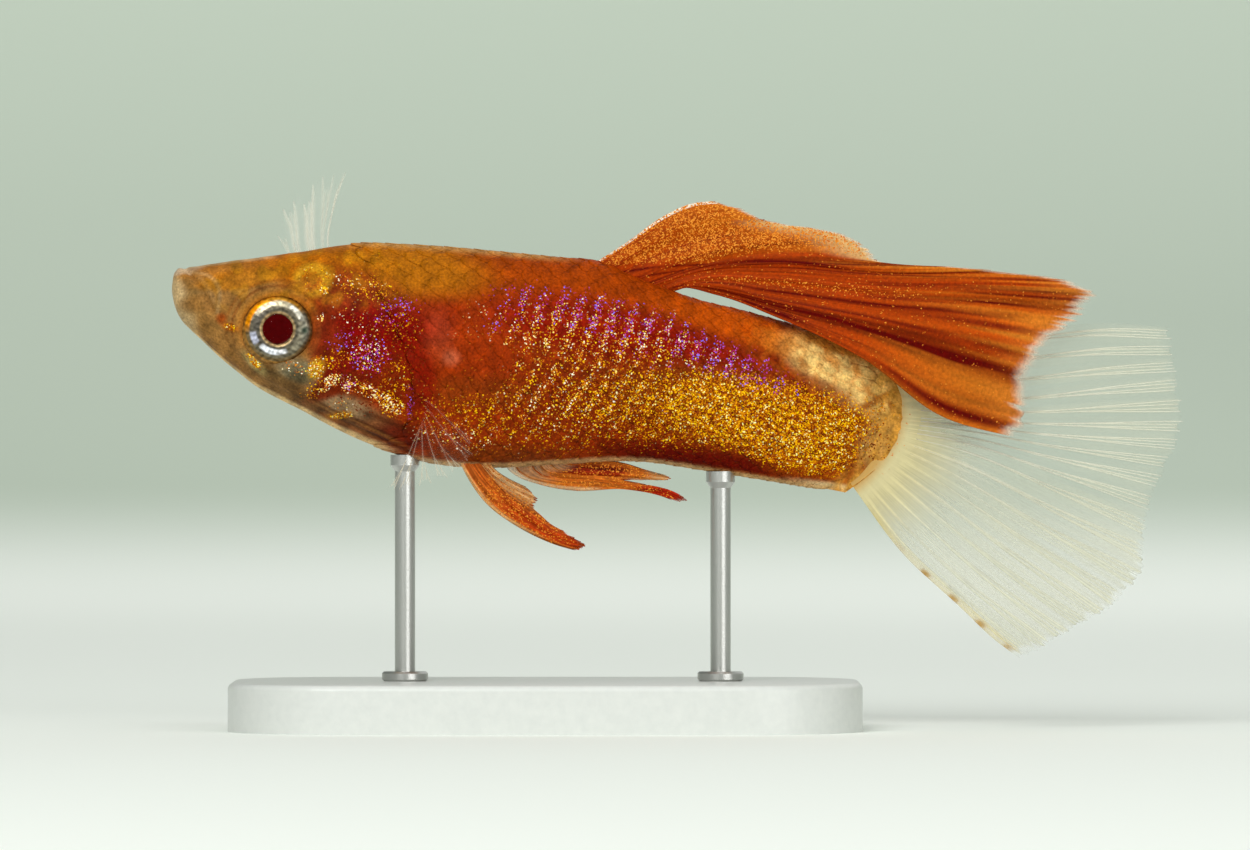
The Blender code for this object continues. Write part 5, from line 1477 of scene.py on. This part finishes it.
# The rods fade toward the low rays and out of the scaled root
low_down = ease((-5.2 - ray_z - 0.30 * (ray_x - 30)) / 3)
ray_cover = (0.62 - 0.36 * low_down) * ease((ray_x - 29.6 + 0.5 * (ray_z + 6)) / 3.0 + 0.25)
caudal_rays.data.attributes["cover"].data.foreach_set("value", ray_cover.astype(np.float32))
place(caudal_rays, CLEAR_FIN)
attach(caudal_rays, "root")

# The anal fin, long and narrow in the male, and the pair of pelvic fins: soft red skin over a few rays.
# Each is rooted in the belly and trails back from it.
ANAL_RAYS = (
    ((13.30, 0.00, -6.90), (13.95, 0.00, -7.78), (15.20, -0.04, -8.30), (16.60, -0.10, -8.54),
     (18.60, -0.16, -8.46), (20.10, -0.22, -8.74), (21.05, -0.28, -9.12)),
    ((14.42, 0.00, -6.90), (14.96, 0.00, -7.87), (15.99, -0.04, -8.14), (17.63, -0.10, -8.20),
     (19.32, -0.16, -8.48), (20.35, -0.22, -8.52), (21.15, -0.28, -8.86)),
    ((14.83, 0.00, -6.90), (15.37, 0.00, -7.74), (16.40, -0.04, -7.95), (17.63, -0.08, -8.02),
     (19.20, -0.12, -8.18)),
    ((15.30, 0.00, -6.90), (15.90, 0.00, -7.62), (17.02, -0.04, -7.80), (18.46, -0.08, -7.90),
     (19.69, -0.12, -8.02), (20.56, -0.16, -8.12)),
    ((15.70, 0.00, -6.90), (16.40, 0.00, -7.25), (17.50, -0.04, -7.28), (18.60, -0.08, -7.42),
     (19.60, -0.12, -7.74), (20.45, -0.16, -7.97)),
)
PELVIC_RAYS = (
    ((11.66, 0.60, -6.90), (12.19, 0.80, -7.99), (13.02, 1.05, -9.11), (14.13, 1.30, -9.93),
     (15.72, 1.60, -10.70), (16.80, 1.80, -11.02)),
    ((12.00, 0.62, -6.95), (12.77, 0.82, -8.12), (13.84, 1.06, -9.22), (15.16, 1.32, -10.10),
     (16.20, 1.55, -10.64), (17.02, 1.80, -10.84)),
    ((12.25, 0.64, -6.95), (13.02, 0.84, -8.05), (14.05, 1.04, -9.12), (15.00, 1.22, -9.78),
     (15.95, 1.42, -10.36), (16.92, 1.66, -10.66)),
    ((12.50, 0.66, -6.95), (13.27, 0.84, -7.88), (14.13, 0.98, -8.42), (14.70, 1.06, -8.70),
     (15.16, 1.12, -8.96)),
    ((12.80, 0.68, -6.95), (13.30, 0.82, -7.70), (13.85, 0.92, -8.08), (14.30, 0.98, -8.30),
     (14.63, 1.02, -8.44)),
)
SMALL_FIN_RAYS = 5


def small_pleat(share, along_share):
    return 0.04 * np.sin(share * math.tau * 3.5) * ease(along_share / 0.3)


def small_fin(name, node, rays, paint, notch, mirrored, seed):
    """One of the small red fins. The notch in its edge is given as (share across, half width, depth)."""
    surface = fin_surface(rays, mirrored, columns=160, rows=100)
    count = SMALL_FIN_RAYS
    notch_at, notch_half, notch_depth = notch

    def reach(share):
        notched = 1 - notch_depth * bell(share - notch_at, notch_half)
        return ragged_reach(share, count, 0.04, seed) * notched

    obj, mesh, share, length = fin_sheet(
        name, surface, columns=160, rows=90, thickness=0.08, pleat=small_pleat, reach=reach
    )
    fine = strip_noise(share, length, 64, 4, seed + 2)
    tint, cover = paint(share, length)
    patches = strip_noise(share, length, 14, 12, seed + 5)
    colour_attribute(mesh, "tint", tint * ((1 + 0.55 * fine) * (1 + 0.30 * patches))[:, None])
    end = length / reach(share)
    value_attribute(mesh, "cover", np.clip(cover, 0, 1) * feathered(share, end, 60, 0.05, seed + 9))
    value_attribute(mesh, "speckle", 0.24 * between(length, 0.25, 0.9, 0.2))
    place(obj, RED_FIN)
    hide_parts(node)
    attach(obj, "root")
    rods = fin_rays(
        name + "_rays", surface, count, forks=(0.45, 0.75), radii=(0.050, 0.018),
        pleat=small_pleat, reach=reach, steps=20,
    )
    place(tinted_rays(rods, colour(158, 62, 16), 1.0), RED_FIN)
    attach(rods, "root")


def pelvic_paint(share, length):
    """Red-brown from the middle to the tip, a pale front edge, and a thin pale lobe behind."""
    tint = np.tile(colour(176, 84, 24), (len(share), 1))
    deep = between(share, 0.10, 0.55, 0.12) * ease((length - 0.25) / 0.3)
    tint = over(tint, colour(158, 46, 6), 0.9 * deep)
    front = ease((0.10 - share) / 0.08) * ease((0.8 - length) / 0.2)
    lobe = ease((share - 0.58) / 0.12)
    tint = over(tint, colour(218, 168, 104), 0.85 * np.maximum(front, lobe))
    return tint, 0.96 - 0.5 * lobe - 0.25 * front


def anal_paint(share, length):
    """Tan at the root and orange-brown in the middle, with dark red in a streak on top and at the low tip."""
    tint = np.tile(colour(182, 92, 26), (len(share), 1))
    root = ease((0.34 - length) / 0.2)
    tint = over(tint, colour(196, 134, 74), 0.8 * root)
    streak = between(share, 0.62, 0.92, 0.15) * between(length, 0.22, 0.66, 0.12)
    tip = ease((0.40 - share) / 0.15) * ease((length - 0.66) / 0.12)
    tint = over(tint, colour(118, 14, 4), 0.9 * streak)
    tint = over(tint, colour(150, 22, 6), 0.95 * tip)
    front = ease((0.14 - share) / 0.10) * ease((0.62 - length) / 0.1)
    upper_tip = ease((share - 0.5) / 0.2) * ease((length - 0.75) / 0.15)
    pale = np.maximum(front, 0.8 * upper_tip)
    tint = over(tint, colour(216, 168, 104), 0.8 * pale)
    return tint, 0.96 - 0.25 * root - 0.35 * pale


ANAL_NOTCH = (0.5, 0.10, 0.10)
PELVIC_NOTCH = (0.63, 0.08, 0.24)
small_fin("anal_membrane", "anal_fin", ANAL_RAYS, anal_paint, ANAL_NOTCH, mirrored=False, seed=5)
small_fin("pelvic_left", "pelvic_fin_left", PELVIC_RAYS, pelvic_paint, PELVIC_NOTCH, mirrored=True, seed=6)
small_fin("pelvic_right", "pelvic_fin_right", PELVIC_RAYS, pelvic_paint, PELVIC_NOTCH, mirrored=False, seed=7)

# The pectoral fins: fans of hair-thin white rays in a membrane almost too clear to see, on the shoulders.
# The left one is spread toward the lens and the right one is raised beside the head.
NEAR_PECTORAL_RAYS = (
    ((10.25, -1.70, -4.60), (10.80, -3.60, -4.85), (11.50, -5.60, -5.40), (12.45, -8.00, -6.30)),
    ((10.30, -1.70, -4.90), (10.80, -3.80, -5.40), (11.50, -6.00, -6.20), (12.55, -8.50, -7.20)),
    ((10.33, -1.60, -5.20), (10.65, -3.60, -5.90), (11.10, -5.90, -6.85), (11.80, -8.30, -7.95)),
    ((10.33, -1.50, -5.40), (10.42, -3.40, -6.20), (10.60, -5.60, -7.20), (10.85, -7.80, -8.20)),
    ((10.33, -1.40, -5.60), (10.15, -3.20, -6.45), (9.90, -5.10, -7.45), (9.60, -7.00, -8.50)),
    ((10.33, -1.30, -5.80), (9.95, -2.90, -6.60), (9.50, -4.60, -7.60), (8.95, -6.20, -8.55)),
)
FAR_PECTORAL_RAYS = (
    ((10.25, 1.70, -4.50), (8.80, 3.60, -2.20), (7.20, 4.50, -0.10), (6.35, 4.90, 1.60), (6.55, 5.20, 3.20),
     (7.10, 5.40, 4.72)),
    ((10.30, 1.70, -4.90), (8.60, 3.70, -2.40), (7.00, 4.50, -0.20), (6.20, 4.90, 1.58), (6.40, 5.20, 3.20),
     (6.72, 5.40, 4.75)),
    ((10.33, 1.60, -5.30), (8.35, 3.70, -2.70), (6.65, 4.50, -0.40), (5.90, 4.90, 1.55), (5.85, 5.15, 3.15),
     (5.85, 5.35, 4.72)),
    ((10.36, 1.50, -5.60), (8.15, 3.70, -3.05), (6.35, 4.50, -0.65), (5.25, 4.85, 1.47), (5.15, 5.10, 2.80),
     (4.98, 5.30, 4.00)),
    ((10.38, 1.40, -5.85), (8.05, 3.70, -3.40), (6.20, 4.45, -0.95), (4.75, 4.80, 1.40), (4.55, 5.05, 2.20),
     (4.23, 5.20, 2.92)),
    ((10.40, 1.30, -6.10), (8.10, 3.60, -3.80), (6.20, 4.40, -1.30), (4.55, 4.75, 1.33), (4.20, 4.95, 1.80),
     (3.75, 5.10, 2.25)),
)


def no_pleat(share, along_share):
    return np.zeros(np.shape(share))


def clear_of_body(side_name, z):
    """The clear left fin is all but lost against the flank, and shows below the belly."""
    if side_name == "right":
        return np.ones(len(z))
    return 0.08 + 0.12 * ease((-5.6 - z) / 0.8) + 0.80 * ease((-7.1 - z) / 0.5)


def pectoral_fin(side_name, rays, seed, strengths, band_cover, rod_cover):
    """One pectoral fin. The strengths say how plainly each ray's band of membrane shows."""
    bands = len(strengths)
    surface = fin_surface(rays, columns=160, rows=100)

    def reach(share):
        return ragged_reach(share, bands, 0.12, seed)

    obj, mesh, share, length = fin_sheet(
        "pectoral_membrane_" + side_name, surface, columns=240, rows=60, thickness=0.05,
        pleat=no_pleat, reach=reach,
    )
    colour_attribute(mesh, "tint", np.tile(colour(232, 232, 216), (len(share), 1)))
    band = bell(fork(share, length, bands, 0.45, 0.95), 0.15) * (1 - 0.6 * ease((length - 0.75) / 0.25))
    band = band * np.array(strengths)[np.clip((share * bands).astype(int), 0, bands - 1)]
    cover = 0.02 + 0.04 * ease((0.25 - length) / 0.25) + band_cover * band
    value_attribute(mesh, "cover", cover * clear_of_body(side_name, surface(share, length)[:, 2]))
    value_attribute(mesh, "speckle", np.zeros(len(share)))
    place(obj, CLEAR_FIN)
    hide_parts("pectoral_fin_" + side_name)
    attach(obj, "root")
    rods = fin_rays(
        "pectoral_rays_" + side_name, surface, bands, forks=(0.62, 0.88), radii=(0.030, 0.010),
        pleat=no_pleat, reach=reach, steps=22,
    )
    place(tinted_rays(rods, colour(236, 226, 200), rod_cover), CLEAR_FIN)
    rod_covers = rod_cover * clear_of_body(side_name, fish_points(rods.data)[:, 2])
    rods.data.attributes["cover"].data.foreach_set("value", rod_covers.astype(np.float32))
    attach(rods, "root")


NEAR_STRENGTHS = (1,) * 7
FAR_STRENGTHS = (1, 0.4, 1, 0.9, 0.7)
pectoral_fin("left", NEAR_PECTORAL_RAYS, 41, NEAR_STRENGTHS, band_cover=0.06, rod_cover=0.42)
pectoral_fin("right", FAR_PECTORAL_RAYS, 43, FAR_STRENGTHS, band_cover=0.42, rod_cover=0.16)

# The display stand: a flat pale base with a soft edge, and two thin satin steel rods glued in drilled holes.
# Each rod carries a small cup that the belly rests in, and a collar hides the hole at its foot.
BASE_ROUNDING = 5.0
BASE_CORNER_STEPS = 32
BASE_EDGE = 0.25
BASE_EDGE_STEPS = 6
ROD_RADIUS = 0.42
COLLAR_RADIUS = 0.95
COLLAR_HEIGHT = 0.40
COLLAR_FOOT = 0.1
COLLAR_EDGE = 0.08
CUP_RADIUS = 0.60
CUP_HEIGHT = 0.45
CUP_TAPER = 0.25
CUP_DOME = 0.02
CUP_GRIP = 0.06
TURNED_SIDES = 40
ROD_SINK = 0.05
SHARP_CORNER = math.radians(35)
base_low, base_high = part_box("stand_base")

stand_material = plain_material("satin stand", colour(214, 216, 212), 0.32)
stand_tree = stand_material.node_tree
stand_grain = noise_node(stand_tree, object_place(stand_tree), 3.0, 4.0)
stand_shader = stand_tree.nodes["Principled BSDF"]
stand_tint = mix_colour(stand_tree, stand_grain, colour(206, 209, 205), colour(220, 222, 217))
stand_tree.links.new(stand_tint, stand_shader.inputs["Base Color"])
stand_tree.links.new(bump_node(stand_tree, stand_grain, 0.00002, 0.3), stand_shader.inputs["Normal"])
shape = bmesh.new()
bmesh.ops.create_cube(shape, size=1)
bmesh.ops.scale(shape, vec=[high - low for low, high in zip(base_low, base_high)], verts=shape.verts)
bmesh.ops.translate(shape, vec=(np.array(base_low) + base_high) / 2, verts=shape.verts)
upright = [edge for edge in shape.edges if abs(edge.verts[0].co.z - edge.verts[1].co.z) > 0.5 * MM]
bmesh.ops.bevel(
    shape, geom=upright, offset=BASE_ROUNDING * MM, segments=BASE_CORNER_STEPS, profile=0.5, affect="EDGES"
)
nearly_top = base_high[2] - 0.01 * MM
rim = [edge for edge in shape.edges if min(vertex.co.z for vertex in edge.verts) > nearly_top]
bmesh.ops.bevel(
    shape, geom=rim, offset=BASE_EDGE * MM, segments=BASE_EDGE_STEPS, profile=0.5, affect="EDGES"
)
base_mesh = made_mesh(shape, "stand_base_smooth")
base_mesh.shade_smooth()
base_mesh.set_sharp_from_angle(angle=SHARP_CORNER)
base = place(bpy.data.objects.new("stand_base_smooth", base_mesh), stand_material)
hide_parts("stand_base")
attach(base, "root")

rod_material = plain_material("satin steel", colour(196, 196, 192), 0.30, 0.95)
rod_tree = rod_material.node_tree
rod_grain = noise_node(rod_tree, object_place(rod_tree), 12.0, 2.0)
rod_shader = rod_tree.nodes["Principled BSDF"]
rod_tree.links.new(bump_node(rod_tree, rod_grain, 0.00002, 0.25), rod_shader.inputs["Normal"])


def turned(name, outline, centre):
    """A turned piece: its outline, as pairs of radius and height, spun round an upright axis."""
    shape = bmesh.new()
    points = [shape.verts.new((radius, 0, level)) for radius, level in outline]
    edges = [shape.edges.new(pair) for pair in zip(points, points[1:])]
    bmesh.ops.spin(
        shape, geom=points + edges, cent=(0, 0, 0), axis=(0, 0, 1), angle=math.tau,
        steps=TURNED_SIDES, use_merge=True,
    )
    bmesh.ops.scale(shape, vec=(MM, MM, MM), verts=shape.verts)
    bmesh.ops.translate(shape, vec=centre, verts=shape.verts)
    mesh = made_mesh(shape, name)
    close_up(mesh, 1e-7)
    mesh.shade_smooth()
    mesh.set_sharp_from_angle(angle=SHARP_CORNER)
    return bpy.data.objects.new(name, mesh)


for rod_name in ("stand_rod_front", "stand_rod_rear"):
    rod_low, rod_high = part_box(rod_name)
    middle_x = (rod_low[0] + rod_high[0]) / 2
    fish_x = (middle_x - SNOUT[0]) / MM
    top = (SNOUT[2] - rod_low[2]) / MM + float(belly(fish_x)) + CUP_GRIP
    collar = (base_high[2] - rod_low[2]) / MM
    outline = (
        (0, ROD_SINK),
        (ROD_RADIUS, ROD_SINK),
        (ROD_RADIUS, collar),
        (COLLAR_RADIUS - COLLAR_FOOT, collar),
        (COLLAR_RADIUS, collar + COLLAR_EDGE),
        (COLLAR_RADIUS, collar + COLLAR_HEIGHT - COLLAR_EDGE),
        (COLLAR_RADIUS - COLLAR_EDGE, collar + COLLAR_HEIGHT),
        (ROD_RADIUS, collar + COLLAR_HEIGHT),
        (ROD_RADIUS, top - CUP_HEIGHT - CUP_TAPER),
        (CUP_RADIUS, top - CUP_HEIGHT),
        (CUP_RADIUS, top - CUP_DOME),
        (0, top),
    )
    rod = turned(rod_name + "_turned", outline, (middle_x, 0, rod_low[2]))
    place(rod, rod_material)
    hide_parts(rod_name)
    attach(rod, "root")
